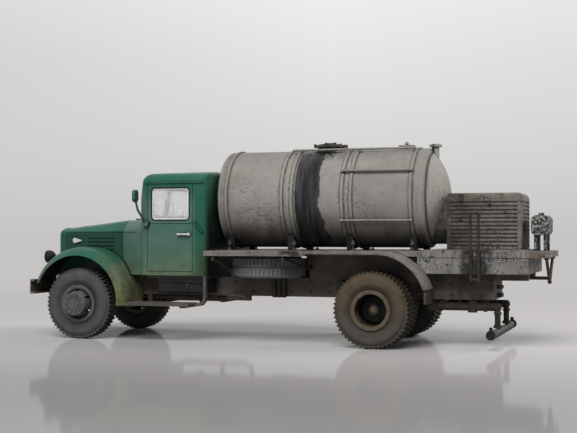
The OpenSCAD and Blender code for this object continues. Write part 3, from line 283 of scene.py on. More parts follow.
def cab_shade_and_lines(t, colour):
    """Painted shade and lines of the cab and bonnet: shade low at the rear corner and on back-facing faces, a
    crease and the cowl's joint.
    """
    along = t.axis("X")
    height = t.axis("Z")
    # Painted shade: darker green low at the cab's rear corner
    rear = t.ramp(along, CAB_BACK + 0.55 * MM, CAB_BACK + 6.55 * MM, 1, 0)
    low = t.ramp(height, CAB_FOOT + 1.9 * MM, CAB_FOOT + 15.9 * MM, 1, 0)
    colour = t.mix(t.times(rear, low, 0.75), colour, (0.022, 0.03, 0.012))
    # Painted shade on faces that point backwards, strongest low down
    backward = t.ramp(t.facing("X"), -0.95, -0.3, 1, 0)
    back_shade = t.times(backward, t.ramp(height, ROOF_SEAM - 13.9 * MM, ROOF_SEAM + 2.1 * MM, 0.92, 0.3))
    colour = t.mix(back_shade, colour, (0.006, 0.009, 0.006))
    line = (0.1 * MM, 0.26 * MM)
    on_bonnet = t.near(along, COWL_X + 8.85 * MM, 16 * MM, 16.3 * MM)
    crease = t.times(t.near(height, CREASE_Z, *line), on_bonnet)
    joint = t.near(along, COWL_X, *line)
    return t.mix(t.times(t.math("MAXIMUM", crease, joint), 0.85), colour, SEAM_AND_SHADE_GREEN)


def green_paint(name, side_shade, panels=True):
    """Teal paint with painted shade on upright sides by a share and on undersides, olive dust and a little
    rust low down.

    With panels it has the cab's painted shade and lines, and even dust. Without them the dust is thickest at
    the back.
    """
    t, colour = coat(name, (0.015, 0.094, 0.058), (0.024, 0.106, 0.07), streaks=0.2)
    along = t.axis("X")
    height = t.axis("Z")
    # Painted shade: upright sides darker by the given share
    upright = t.ramp(t.facing("Z"), 0.15, 0.75, side_shade, 0)
    colour = t.mix(upright, colour, (0.006, 0.028, 0.018))
    # A paler, greyer patchy band on the door below the roof
    on_door = t.near(along, CAB_BACK + 19.55 * MM, 14 * MM, 15.5 * MM)
    below_roof = t.ramp(height, ROOF_SEAM - 7.9 * MM, ROOF_SEAM - 0.9 * MM, 1, 0)
    paler_door_band = t.times(on_door, below_roof, t.ramp(t.noise(190, 5), 0.3, 0.7, 0.35, 0.6))
    colour = t.mix(paler_door_band, colour, (0.115, 0.175, 0.15))
    dust = 0.75 if panels else t.ramp(along, FENDER_BACK + 2 * MM, FENDER_BACK + 15 * MM, 1.0, 0.1)
    colour = dusted(t, colour, OLIVE, 10 * MM, 35 * MM, dust)
    low_down = t.ramp(height, CAB_FOOT + 1.4 * MM, CAB_FOOT + 6.9 * MM, 1, 0)
    colour = t.mix(t.times(low_down, t.ramp(t.noise(420, 5), 0.46, 0.66), 0.55), colour, RUST)
    colour = wash_and_shade(t, colour, 1.0 * MM, 0.92, SEAM_AND_SHADE_GREEN)
    if panels:
        colour = cab_shade_and_lines(t, colour)
    # Painted shade on faces that point down
    underside = t.ramp(t.facing("Z"), -0.4, -0.02, 0.93, 0)
    colour = t.mix(underside, colour, (0.008, 0.01, 0.008))
    return painted(t, colour, 0.36, 0.04, (0.08, 0.2, 0.155), 0.35, 0.24)


def chassis_paint(name, lift):
    """Dark brown-grey paint, lighter by a factor that paints light on parts in shadow, with dust, a grimy
    tail, specks and worn edges.
    """
    base = (lift * 0.058, lift * 0.051, lift * 0.045)
    faded = (lift * 0.09, lift * 0.079, lift * 0.07)
    t, colour = coat(name, base, faded, streaks=0.3)
    colour = dusted(t, colour, DUST, 0, 30 * MM, 0.3)
    tail = t.near(t.axis("X"), rail_low[0] + 8.45 * MM, 14 * MM, 20 * MM)
    colour = t.mix(t.times(tail, t.ramp(t.noise(200, 5), 0.35, 0.65, 0, 0.6)), colour, GRIME_AND_SHADE)
    colour = chipped(t, colour, GRIME_AND_SHADE, 0.5)
    colour = chipped(t, colour, (0.17, 0.155, 0.137), 0.6, 1700, 130, 0.6)
    colour = wash_and_shade(t, colour, 0.9 * MM, 0.8)
    return painted(t, colour, 0.66, 0.08, (0.14, 0.125, 0.11), 0.5)


def box_paint():
    """Blue-black paint of the side boxes, the saddles and the lamp shells, made very dark partly as painted
    shade where the side boxes sit in shadow.
    """
    # Very dark base: the boxes' own black paint, and painted shade
    t, colour = coat("box_paint", (0.01, 0.0105, 0.0115), (0.018, 0.0185, 0.02), streaks=0.2)
    colour = wash_and_shade(t, chipped(t, colour, DUST, 0.35), 0.9 * MM, 0.8)
    return painted(t, colour, 0.55, 0.07, (0.1, 0.098, 0.095), 0.4)


def cab_plastic():
    """Dull dark grey of the seat and the dashboard."""
    t, colour = coat("cab_plastic", (0.075, 0.073, 0.07), (0.11, 0.105, 0.1), streaks=0.1)
    return painted(t, wash_and_shade(t, colour, 1.2 * MM, 0.6), 0.6)


def deck_paint():
    """Grey-brown paint with bitumen specks, rust and a dark pool below the tank's black run."""
    t, colour = coat("deck_paint", (0.14, 0.127, 0.113), (0.2, 0.186, 0.168), streaks=0.45, streak_reach=90)
    colour = chipped(t, colour, BITUMEN, 0.9, 1300, 160, 0.62)
    colour = chipped(t, colour, RUST, 0.6, 500, 90, 0.6)
    under_run = t.near(t.axis("X"), STRAPS[2] - 6 * MM, 4 * MM, 7 * MM)
    left = t.ramp(t.axis("Y"), 0, 6 * MM)
    pool = t.times(under_run, left, t.ramp(t.noise(240, 5), 0.42, 0.56), 0.85)
    colour = t.mix(pool, colour, BITUMEN)
    colour = wash_and_shade(t, colour, 0.7 * MM, 0.75)
    return painted(t, colour, 0.62, 0.09, DECK_EDGE, 0.7)


def platform_paint():
    """Paler than the deck, with heavy spatter, a near-black patchy band by the side guards and a rusty end.
    """
    base = (0.17, 0.163, 0.154)
    t, colour = coat("platform_paint", base, (0.27, 0.26, 0.247), streaks=0.6, streak_reach=90)
    colour = chipped(t, colour, BITUMEN, 0.97, 1900, 260, 0.53)
    colour = chipped(t, colour, BITUMEN, 0.9, 900, 150, 0.57)
    colour = chipped(t, colour, RUST, 0.6, 500, 90, 0.6)
    along = t.axis("X")
    # A near-black, patchy band at the side guards' place along the truck
    by_guards = t.near(along, GUARD_X - 0.4 * MM, 3.6 * MM, 6.2 * MM)
    colour = t.mix(t.times(by_guards, t.ramp(t.noise(260, 5), 0.3, 0.5), 0.9), colour, BITUMEN)
    end = t.ramp(along, PLATFORM_BACK + 4.85 * MM, PLATFORM_BACK + 8.85 * MM, 1, 0)
    colour = t.mix(t.times(end, t.ramp(t.noise(330, 5), 0.42, 0.62), 0.6), colour, RUST)
    colour = wash_and_shade(t, colour, 0.7 * MM, 0.75)
    return painted(t, colour, 0.62, 0.09, DECK_EDGE, 0.6)


def tank_coat(name):
    """The tank's grey, with brown seams, chips, scratches, darker patches low down, a paler dome that is
    partly painted light, and painted shade on its tops and belly. Returns the tree and its colour.
    """
    t, colour = coat(name, (0.232, 0.217, 0.198), (0.287, 0.271, 0.25), 95, 0.2, 60)
    along = t.axis("X")
    height = t.axis("Z")
    lines = None
    for place in (*STRAPS, TANK_FRONT - 0.6 * MM):
        away = t.math("ABSOLUTE", t.math("SUBTRACT", along, place))
        line = t.near(away, 0.85 * MM, 0.12 * MM, 0.42 * MM)
        lines = line if lines is None else t.math("MAXIMUM", lines, line)
    patchy = t.ramp(t.noise(480, 5), 0.36, 0.6, 0.3, 0.9)
    colour = t.mix(t.times(lines, patchy, 0.5), colour, (0.06, 0.038, 0.026))
    # The dome is paler: partly its own paint, partly painted light
    dome = t.ramp(along, TANK_BACK - 1.5 * MM, TANK_BACK - 0.8 * MM, 0.45, 0)
    colour = t.mix(dome, colour, (0.37, 0.345, 0.315))
    rim = t.near(along, TANK_BACK - 0.5 * MM, 0.16 * MM, 0.42 * MM)
    colour = t.mix(t.times(rim, 0.85), colour, (0.03, 0.022, 0.017))
    chips = t.ramp(height, TANK_Z, TANK_Z + 9 * MM, 0.7, 0.12)
    colour = chipped(t, colour, (0.05, 0.04, 0.033), chips, 1250, 62, 0.59)
    rubbed_x = t.near(along, TANK_FRONT - 15.25 * MM, 5 * MM, 12 * MM)
    rubbed_z = t.near(height, TANK_Z - 6 * MM, 2 * MM, 6.5 * MM)
    lower_half = t.ramp(height, TANK_Z - 4 * MM, TANK_Z + 5 * MM, 1, 0.2)
    loose = t.times(t.ramp(t.noise(60, 3), 0.55, 0.66), lower_half)
    worn = t.math("MAXIMUM", t.times(rubbed_x, rubbed_z), loose)
    scratches = t.ramp(t.noise(1, 4, 0.6, t.scaled(420, 1100, 1500)), 0.55, 0.6)
    colour = t.mix(t.times(scratches, worn, 0.55), colour, (0.055, 0.044, 0.036))
    # Patchy darkening on the lower part of the tank
    low = t.ramp(height, TANK_Z - 15 * MM, TANK_Z - 3 * MM, 1, 0)
    lower_darkening = t.times(low, t.ramp(t.noise(1, 5, place=t.scaled(260, 60, 90)), 0.38, 0.7, 0.15, 0.8))
    colour = t.mix(lower_darkening, colour, (0.07, 0.06, 0.052))
    # Painted shade on faces that point up
    top = t.ramp(t.facing("Z"), 0.6, 1.0, 0, 0.5)
    colour = t.mix(top, colour, (0.13, 0.12, 0.108))
    # Painted shade on faces that point down
    under = t.ramp(t.facing("Z"), -0.95, -0.45, 0.85, 0)
    return t, t.mix(under, colour, (0.028, 0.025, 0.022))


def tank_paint():
    """The tank's grey for its straps, rails and caps."""
    t, colour = tank_coat("tank_paint")
    colour = wash_and_shade(t, colour, 0.8 * MM, 0.85, SEAM_AND_SHADE_BROWN)
    return painted(t, colour, 0.6, 0.06, TANK_EDGE, 0.35)


def tank_shell_paint():
    """The tank's grey with the black run that comes down from the hatch on the left side."""
    t, colour = tank_coat("tank_shell_paint")
    along = t.axis("X")
    height = t.axis("Z")
    wobble = t.ramp(t.noise(140, 5), 0.2, 0.8, -2.2 * MM, 2.2 * MM, smooth=False)
    spread = t.ramp(height, TANK_Z - 16 * MM, TANK_Z - 2 * MM, 2.6 * MM, 0)
    edge = t.math("ADD", t.math("ADD", along, wobble), spread)
    run_back = t.ramp(edge, STRAPS[2] - 9.9 * MM, STRAPS[2] - 9.1 * MM)
    run_front = t.ramp(along, STRAPS[2] - 1.4 * MM, STRAPS[2] - 1.0 * MM, 1, 0)
    left = t.ramp(t.axis("Y"), -4 * MM, 0)
    by_hatch = t.near(along, HATCH_X, 5 * MM, 8 * MM)
    high = t.ramp(height, TANK_Z + 12 * MM, TANK_Z + 15 * MM)
    splash = t.times(by_hatch, high, t.ramp(t.noise(330, 5), 0.4, 0.55))
    run = t.math("MAXIMUM", t.times(run_back, run_front, left), splash)
    # Streaks of lighter blue-grey in the black run: drip texture, partly painted sheen
    streaks = t.ramp(t.noise(1, 4, place=t.scaled(500, 60, 50)), 0.4, 0.7)
    colour = t.mix(run, colour, t.mix(streaks, BITUMEN, (0.05, 0.05, 0.054)))
    colour = wash_and_shade(t, colour, 0.8 * MM, 0.85, SEAM_AND_SHADE_BROWN)
    t.bump(t.math("ADD", t.noise(2600, 3), t.times(run, 1.5)), 0.06, 0.2 * MM)
    dry = t.ramp(t.noise(420, 4), 0.3, 0.7, 0.52, 0.72)
    return t.finish(colour, t.math("SUBTRACT", dry, t.times(run, 0.3)))


def bitumen_black():
    """Caked black of the hatch and the burner flange, dusty where it faces up."""
    t, colour = coat("bitumen_black", (0.03, 0.029, 0.027), (0.085, 0.08, 0.074), 400, 0.0)
    upward = t.ramp(t.facing("Z"), 0.4, 0.95)
    dust = t.times(upward, t.ramp(t.noise(600, 4), 0.35, 0.65, 0.1, 0.5))
    colour = t.mix(dust, colour, (0.11, 0.1, 0.09))
    return painted(t, colour, 0.42, 0.12, (0.09, 0.085, 0.08), 0.5)


def housing_paint():
    """Brown-grey paint with rust, bitumen spots, a darker, patchy front and a black patch low on the back."""
    t, colour = coat("housing_paint", (0.135, 0.121, 0.105), (0.2, 0.183, 0.162), 150, 0.4, 80)
    colour = chipped(t, colour, RUST, 0.65, 700, 110, 0.58)
    colour = chipped(t, colour, BITUMEN, 0.95, 420, 60, 0.63)
    colour = chipped(t, colour, BITUMEN, 0.88, 1600, 160, 0.545)
    # Darker and patchy towards the front
    front = t.ramp(t.axis("X"), house_high[0] - 13 * MM, house_high[0] - 3 * MM)
    darker_front = t.times(front, t.ramp(t.noise(170, 5), 0.25, 0.55, 0.3, 1.0))
    colour = t.mix(darker_front, colour, (0.045, 0.037, 0.03))
    # Near black low on the back face
    back = t.ramp(t.axis("X"), house_low[0], house_low[0] + 0.6 * MM, 1, 0)
    low = t.ramp(t.axis("Z"), house_low[2] + 8 * MM, house_low[2] + 10 * MM, 1, 0)
    colour = t.mix(t.times(back, low, 0.93), colour, BITUMEN)
    colour = wash_and_shade(t, colour, 0.9 * MM, 0.95, (0.02, 0.015, 0.012))
    return painted(t, colour, 0.64, 0.09, (0.33, 0.3, 0.27), 0.4)


def drum_paint():
    """Pale paint under thick black spatter."""
    t, colour = coat("drum_paint", (0.22, 0.215, 0.205), (0.3, 0.292, 0.28), 200, 0.3)
    spots = t.ramp(t.noise(1100, 4, 0.6), 0.46, 0.52)
    colour = t.mix(t.times(spots, 0.93), colour, BITUMEN)
    colour = wash_and_shade(t, colour, 0.8 * MM, 0.85)
    return painted(t, colour, 0.6, 0.08, TANK_EDGE, 0.4)


def grimy_iron():
    """Bare iron that is brown-black with grime."""
    t, colour = coat("grimy_iron", (0.026, 0.023, 0.02), (0.043, 0.037, 0.032), 300, 0.3)
    colour = chipped(t, colour, (0.1, 0.09, 0.08), 0.5, 1100, 200, 0.6)
    colour = wash_and_shade(t, colour, 0.9 * MM, 0.8)
    return painted(t, colour, 0.5, 0.09, (0.12, 0.108, 0.097), 0.45)


def bar_paint():
    """Speckled metal of the spray bar, black with bitumen at its ends."""
    t, colour = coat("bar_paint", (0.046, 0.043, 0.039), (0.085, 0.08, 0.073), 300, 0.4)
    colour = chipped(t, colour, BITUMEN, 0.92, 1100, 220, 0.53)
    ends = t.ramp(t.math("ABSOLUTE", t.axis("Y")), BAR_END - 3.2 * MM, BAR_END - 2.4 * MM)
    colour = t.mix(t.times(ends, 0.95), colour, BITUMEN)
    colour = wash_and_shade(t, colour, 0.8 * MM, 0.8)
    return painted(t, colour, 0.5, 0.09, PIPE_EDGE, 0.5)


def pipe_metal():
    """Dull dark metal with rust and bitumen spots."""
    t, colour = coat("pipe_metal", (0.05, 0.046, 0.042), (0.09, 0.084, 0.077), 300, 0.4)
    colour = chipped(t, colour, RUST, 0.7, 800, 140, 0.55)
    colour = chipped(t, colour, BITUMEN, 0.9, 900, 200, 0.57)
    colour = wash_and_shade(t, colour, 0.8 * MM, 0.8)
    return painted(t, colour, 0.5, 0.09, PIPE_EDGE, 0.6)


def front_wheel_paint():
    """Grey wheel paint, dusty low down, with painted shade near black deep in the holes."""
    t, colour = coat("wheel_paint", (0.08, 0.08, 0.082), (0.115, 0.115, 0.115), 300, 0.1)
    colour = dusted(t, colour, (0.1, 0.09, 0.078), 0, 22 * MM, 0.5)
    # Painted shade near black deep in holes and recesses
    colour = wash_and_shade(t, colour, 2.2 * MM, 0.95, HUB_SHADE)
    return painted(t, colour, 0.55, 0.07, (0.2, 0.195, 0.19), 0.5)


def rear_wheel_paint():
    """Dusty rim round a near-black hub with a ragged edge, painted shade near black deep in its recesses, and
    a rusty cap.
    """
    t, colour = coat("rear_wheel_paint", (0.085, 0.066, 0.045), (0.115, 0.092, 0.066), 300, 0.2)
    away = t.from_axle(REAR_AXLE)
    # A near-black disc round the axle with a ragged edge
    ragged = t.math("ADD", away, t.ramp(t.noise(500, 4), 0, 1, -0.3 * MM, 0.3 * MM))
    dark_hub = t.ramp(ragged, 4.9 * MM, 5.3 * MM, 1, 0)
    colour = t.mix(dark_hub, colour, (0.007, 0.0065, 0.006))
    cap = t.ramp(away, 1.0 * MM, 1.7 * MM, 0.85, 0)
    colour = t.mix(cap, colour, (0.16, 0.112, 0.072))
    # Painted shade near black deep in holes and recesses
    colour = wash_and_shade(t, colour, 2.2 * MM, 0.95, HUB_SHADE)
    return painted(t, colour, 0.6, 0.07, (0.2, 0.18, 0.15), 0.4)


def glass(name, tint, rough, clear):
    """Thin plastic pane, a little milky, with faint smears."""
    t = Tree(name)
    smear = t.ramp(t.noise(240, 4), 0.4, 0.75, rough, rough + 0.04)
    t.shader.inputs["Transmission Weight"].default_value = clear
    t.shader.inputs["IOR"].default_value = 1.12
    dull = tuple(0.93 * channel for channel in tint)
    return t.finish(t.mix(t.ramp(t.noise(330, 4), 0.35, 0.7), tint, dull), smear)


def bright_metal(name, colour, rough):
    """Polished trim with fine scratches."""
    t = Tree(name)
    scratches = t.noise(1, 3, place=t.scaled(500, 4000, 4000))
    t.bump(scratches, 0.06, 0.05 * MM)
    tarnish = t.mix(t.ramp(t.noise(600, 4), 0.55, 0.8, 0, 0.4), colour, (0.35, 0.33, 0.3))
    return t.finish(tarnish, t.ramp(scratches, 0.3, 0.7, rough, rough + 0.12), metal=1.0)


def silver_paint():
    """Silver paint of the window frames, slightly worn."""
    t, colour = coat("silver_paint", (0.78, 0.79, 0.8), (0.68, 0.69, 0.7), 300, 0.15)
    return painted(t, wash_and_shade(t, colour, 0.4 * MM, 0.5), 0.35, 0.04, gloss=0.5)


def rubber(name, base, dust, amount, axle=None):
    """Tyre rubber with dust on the walls; where an axle is given, most dust lies partway out on the wall and
    less near rim and tread, which also paints the wall's shading.
    """
    t = Tree(name)
    dusty = t.ramp(t.noise(260, 6), 0.25, 0.7, amount * 0.6, amount)
    if axle:
        away = t.from_axle(axle)
        # Dust and painted light: lighter partway out on the wall, darker towards rim and tread
        wall = t.math("ADD", 0.62, t.times(t.near(away, 9.6 * MM, 0.5 * MM, 3.2 * MM), 0.5))
        wide_ring = t.near(away, 7.4 * MM, 0.06 * MM, 0.2 * MM)
        fine_ring = t.near(away, 8.2 * MM, 0.04 * MM, 0.16 * MM)
        rings = t.times(t.math("MAXIMUM", wide_ring, fine_ring), 0.35)
        dusty = t.math("MULTIPLY", dusty, t.math("SUBTRACT", wall, rings), clamp=True)
    grey = sum(dust) / 3
    low = t.ramp(t.axis("Z"), 5 * MM, 17 * MM, 0.75, 0)
    colour = t.mix(dusty, base, t.mix(low, dust, (grey, 0.97 * grey, 0.92 * grey)))
    colour = wash_and_shade(t, colour, 0.6 * MM, 0.5, (0.01, 0.009, 0.008))
    t.bump(t.math("ADD", t.noise(1900, 4), t.noise(500, 3)), 0.1, 0.25 * MM)
    return t.finish(colour, t.ramp(t.noise(500, 3), 0.3, 0.7, 0.72, 0.9))


CHASSIS = chassis_paint("chassis_paint", 0.9)
# The frame's copy is lightened 1.7 times: painted light on parts that sit in shadow
LIT_FRAME_PAINT = chassis_paint("lit_frame_paint", 1.7)
SLOT_LOOK = {
    "green_paint": green_paint("green_paint", 0.0),
    "chassis_paint": CHASSIS,
    "cab_plastic": cab_plastic(),
    "clear_glass": glass("clear_glass", (1.0, 1.0, 1.0), 0.01, 0.74),
    "lamp_glass": glass("lamp_glass", (0.88, 0.88, 0.84), 0.08, 0.7),
    "bright_trim": bright_metal("bright_trim", (0.86, 0.87, 0.88), 0.22),
    "deck_paint": deck_paint(),
    "tank_paint": tank_paint(),
    "bitumen_black": bitumen_black(),
    "housing_paint": housing_paint(),
    "pipe_metal": pipe_metal(),
    "tyre_rubber": rubber("tyre_rubber", (0.035, 0.035, 0.035), (0.09, 0.088, 0.087), 0.8, FRONT_AXLE),
    "wheel_paint": front_wheel_paint(),
}
IRON = grimy_iron()
BOX_PAINT = box_paint()
SILVER = silver_paint()
SEAL = rubber("seal_rubber", (0.012, 0.012, 0.012), (0.05, 0.047, 0.043), 0.4)
REAR_WHEEL = rear_wheel_paint()
REAR_TYRE = rubber("dusty_tyre_rubber", (0.026, 0.023, 0.019), (0.104, 0.078, 0.051), 0.78, REAR_AXLE)
NODE_LOOK = {
    "tank_shell": tank_shell_paint(),
    "bonnet": green_paint("bonnet_paint", 0.66),
    "front_fenders": green_paint("fender_paint", 0.3, panels=False),
    "radiator_grille": green_paint("grille_paint", 0.3, panels=False),
    "rear_platform": platform_paint(),
    "wheels_rear_left": REAR_WHEEL,
    "wheels_rear_right": REAR_WHEEL,
    "tyres_rear_left": REAR_TYRE,
    "tyres_rear_right": REAR_TYRE,
    "side_boxes": BOX_PAINT,
    "frame_rails": LIT_FRAME_PAINT,
    "subframe_beams": LIT_FRAME_PAINT,
    "cross_members": LIT_FRAME_PAINT,
    "front_bumper": LIT_FRAME_PAINT,
    "fuel_drum": drum_paint(),
    "side_guards": IRON,
    "tank_saddles": BOX_PAINT,
    "spray_pipes": IRON,
    "spray_bar": bar_paint(),
    "headlamp_shells": BOX_PAINT,
    "bitumen_pump": IRON,
    "spare_tyre": rubber("spare_tyre_rubber", (0.085, 0.086, 0.088), (0.245, 0.245, 0.25), 0.78),
}


def dress_nodes():
    """Give every CAD node its look: its own, or else that of its slot."""
    for part in frame["record"]["subparts"]:
        name = part["node"]
        mesh = nodes[name].data
        mesh.materials.clear()
        mesh.materials.append(NODE_LOOK.get(name) or SLOT_LOOK[part["material_slot"]])


dress_nodes()


# Pieces that the CAD leaves to the scene

def add_piece(name, bm, look, body="chassis", smooth=False):
    """Turn a bmesh into a piece that rides on a body."""
    bmesh.ops.remove_doubles(bm, verts=bm.verts, dist=1e-7)
    bmesh.ops.recalc_face_normals(bm, faces=bm.faces)
    mesh = bpy.data.meshes.new(name)
    bm.to_mesh(mesh)
    bm.free()
    for face in mesh.polygons:
        face.use_smooth = smooth
    mesh.materials.append(look)
    piece = bpy.data.objects.new(name, mesh)
    scene.collection.objects.link(piece)
    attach(piece, body)


def add_solid(bm, profile, at, along, sides=12):
    """Lathe a profile of (distance, radius) pairs about a direction, closed at both ends."""
    turn = Vector(along).to_track_quat("Z", "Y").to_matrix().to_4x4()
    place = Matrix.Translation(at) @ turn
    rings = []
    for distance, radius in profile:
        ring = []
        for step in range(sides):
            angle = 2 * math.pi * step / sides
            point = Vector((radius * math.cos(angle), radius * math.sin(angle), distance))
            ring.append(bm.verts.new(place @ point))
        rings.append(ring)
    for low, high in zip(rings, rings[1:]):
        for step in range(sides):
            after = (step + 1) % sides
            bm.faces.new((low[step], low[after], high[after], high[step]))
    bm.faces.new(rings[0])
    bm.faces.new(rings[-1])


def add_bolt(bm, at, along, width, height):
    """A six-sided head with a bevelled top on a washer."""
    washer = 0.25 * height
    add_solid(bm, ((-0.3 * height, 0.75 * width), (washer, 0.75 * width)), at, along, sides=12)
    head = ((washer * 0.5, 0.5 * width), (0.8 * height, 0.5 * width), (height, 0.38 * width))
    add_solid(bm, head, at, along, sides=6)


def grown(corners, by):
    """The low and high corners of a rectangle, moved outwards."""
    low, high = corners
    return (low[0] - by, low[1] - by), (high[0] + by, high[1] + by)


def rounded_outline(corners, radius, steps=5):
    """Points of a rectangle with round corners, in two coordinates."""
    low, high = corners
    centres = (
        (high[0] - radius, high[1] - radius, 0),
        (low[0] + radius, high[1] - radius, 90),
        (low[0] + radius, low[1] + radius, 180),
        (high[0] - radius, low[1] + radius, 270),
    )
    points = []
    for a, b, start in centres:
        for step in range(steps + 1):
            angle = math.radians(start + 90 * step / steps)
            points.append((a + radius * math.cos(angle), b + radius * math.sin(angle)))
    return points


def add_border(bm, corners, radius, width, place, thick):
    """A rounded border strip. place() turns an outline point and a depth into a point in the frame."""
    outer = rounded_outline(corners, radius)
    inner = rounded_outline(grown(corners, -width), max(radius - width, 0.1 * MM))
    loops = [
        [bm.verts.new(place(*point, depth)) for point in outline]
        for outline, depth in ((outer, 0), (outer, thick), (inner, thick), (inner, 0))
    ]
    count = len(outer)
    for first, second in zip(loops, loops[1:] + loops[:1]):
        for step in range(count):
            after = (step + 1) % count
            bm.faces.new((first[step], first[after], second[after], second[step]))


# Windows as low and high corners: along and up for a door's, out from the middle and up for a screen pane
SIDE_WINDOW = ((CAB_BACK + 6.8 * MM, ROOF_SEAM - 12.9 * MM), (CAB_BACK + 20.5 * MM, ROOF_SEAM - 2.1 * MM))
SCREEN_PANE = ((0.9 * MM, ROOF_SEAM - 11.3 * MM), (19.3 * MM, ROOF_SEAM - 1.7 * MM))
SCREEN_X = CAB_BACK + 26.2 * MM
SCREEN_SLOPE = 3.0 / 15.3
BELT_Z = ROOF_SEAM - 12.5 * MM


def screen_x(y, z):
    """How far forward the windscreen's outer face is at a point."""
    slanted = SCREEN_X + 0.3 * MM - (z - BELT_Z) * SCREEN_SLOPE
    curved = SCREEN_X + 0.2 * MM - 0.8 * MM * abs(y) / CAB_HALF
    return min(slanted, curved)


def door_place(side, sunk):
    """A place function for strips that start a little under a door's face."""
    return lambda along, up, depth: (along, side * (CAB_HALF - sunk + depth), up)


def screen_place(side, sunk):
    """A place function for strips that start a little under the windscreen's face."""
    return lambda out, up, depth: (screen_x(out, up) - sunk + depth, side * out, up)


def add_window_trim():
    """Thin bright frames in the door windows, and dark rubber round them and the two windscreen panes."""
    bright = bmesh.new()
    dark = bmesh.new()
    strip = 0.42 * MM
    bright_edge = grown(SIDE_WINDOW, -0.1 * MM)
    dark_edge = grown(SIDE_WINDOW, 0.32 * MM)
    for side in (1, -1):
        add_border(bright, bright_edge, 1.1 * MM, strip, door_place(side, 0.3 * MM), 0.2 * MM)
        add_border(dark, dark_edge, 1.5 * MM, strip, door_place(side, 0.25 * MM), 0.32 * MM)
        add_border(dark, SCREEN_PANE, 1.2 * MM, 0.35 * MM, screen_place(side, 0.2 * MM), 0.3 * MM)
    add_piece("window_frames", bright, SILVER)
    add_piece("window_seals", dark, SEAL)


def add_drip_rails():
    """A thin rain gutter just under the roof seam over each door."""
    rails = bmesh.new()
    length = 20 * MM
    taper = 0.5 * MM
    radius = 0.3 * MM
    tip = 0.12 * MM
    profile = ((0, tip), (taper, radius), (length - taper, radius), (length, tip))
    for side in (1, -1):
        start = Vector((CAB_BACK + 2.55 * MM, side * CAB_HALF, ROOF_SEAM - 0.35 * MM))
        add_solid(rails, profile, start, (1, 0, 0), sides=10)
    add_piece("drip_rails", rails, SLOT_LOOK["green_paint"], smooth=True)


def add_wipers():
    """Two parked wipers: a pivot, an arm and a blade on the glass."""
    wipers = bmesh.new()
    boss = ((-0.3 * MM, 0.4 * MM), (0.35 * MM, 0.4 * MM), (0.55 * MM, 0.2 * MM))
    pivot_z = BELT_Z + 0.6 * MM
    blade_z = BELT_Z + 4 * MM
    blade_half = 3.6 * MM
    thick = 0.16 * MM
    thin = 0.08 * MM
    for side in (1, -1):
        pivot_y = side * 5.5 * MM
        blade_y = side * 11 * MM
        pivot = Vector((screen_x(pivot_y, pivot_z), pivot_y, pivot_z))
        middle = Vector((screen_x(blade_y, blade_z) + 0.4 * MM, blade_y, blade_z))
        add_solid(wipers, boss, pivot, (1, 0, 0))
        start = pivot + Vector((0.3 * MM, 0, 0))
        reach = middle - start
        add_solid(wipers, ((0, thick), (reach.length, 0.11 * MM)), start, reach, sides=8)
        along = Vector((0, side * 0.86, 0.5)).normalized()
        ends = []
        for sign in (-1, 1):
            point = middle + sign * blade_half * along
            ends.append(Vector((screen_x(point.y, point.z) + 0.3 * MM, point.y, point.z)))
        blade = ends[1] - ends[0]
        length = blade.length
        profile = ((0, thin), (0.3 * length, thick), (0.7 * length, thick), (length, thin))
        add_solid(wipers, profile, ends[0], blade, sides=8)
    add_piece("wipers", wipers, CHASSIS, smooth=True)


def add_strap_bolts():
    """Tightening bolts that hold four of the tank straps down to the deck."""
    bolts = bmesh.new()
    up = Vector((0, 0, 1))
    rod = ((-0.2 * MM, 0.28 * MM), (3.4 * MM, 0.28 * MM))
    width = 1.1 * MM
    for strap in (STRAPS[0], STRAPS[2], STRAPS[4], STRAPS[5]):
        for side in (1, -1):
            base = Vector((strap, side * 13.2 * MM, DECK_TOP))
            add_solid(bolts, rod, base, up, sides=10)
            add_bolt(bolts, base + 2.2 * MM * up, up, width, 0.8 * MM)
            add_bolt(bolts, base, up, width, 0.6 * MM)
    add_piece("strap_bolts", bolts, SLOT_LOOK["pipe_metal"])


def add_rail_bolts():
    """Pairs of bolts along the outer sides of the two frame rails."""
    bolts = bmesh.new()
    count = 22
    start = rail_low[0] + 6 * MM
    end = rail_high[0] - 8 * MM
    for step in range(count):
        along = start + (end - start) * step / (count - 1)
        for side in (1, -1):
            for share in (0.25, 0.75):
                height = rail_low[2] + share * (rail_high[2] - rail_low[2])
                place = Vector((along, side * rail_high[1], height))
                add_bolt(bolts, place, (0, side, 0), 0.6 * MM, 0.3 * MM)
    add_piece("rail_bolts", bolts, CHASSIS)


def add_housing_latches():
    """A small black toggle latch near the top front corner of each side of the engine housing."""
    latches = bmesh.new()
    boss = ((-0.2 * MM, 0.55 * MM), (0.35 * MM, 0.55 * MM), (0.5 * MM, 0.4 * MM))
    lever = ((0, 0.32 * MM), (1.2 * MM, 0.26 * MM), (1.9 * MM, 0.4 * MM), (2.1 * MM, 0.2 * MM))
    for side in (1, -1):
        top = Vector((house_high[0] - 4.85 * MM, side * house_high[1], house_high[2] - 0.7 * MM))
        add_solid(latches, boss, top, (0, side, 0))
        add_solid(latches, lever, top + Vector((0, side * 0.35 * MM, 0)), (0, side * 0.08, -1))
    add_piece("housing_latches", latches, SLOT_LOOK["bitumen_black"], smooth=True)


add_window_trim()
add_drip_rails()
add_wipers()
add_strap_bolts()
add_rail_bolts()
add_housing_latches()


# Stage, light and camera

IMAGE_W = 577
FOCAL_PX = 1137.5
SENSOR_MM = 36.0
CAMERA_AT = Vector((-0.12515, 0.3759, 0.036))
CAMERA_TURN = math.radians(18.59)
CAMERA_TILT = math.radians(0.91)
FLOOR_HALF = 4.0
FLOOR_MIRROR = 0.2
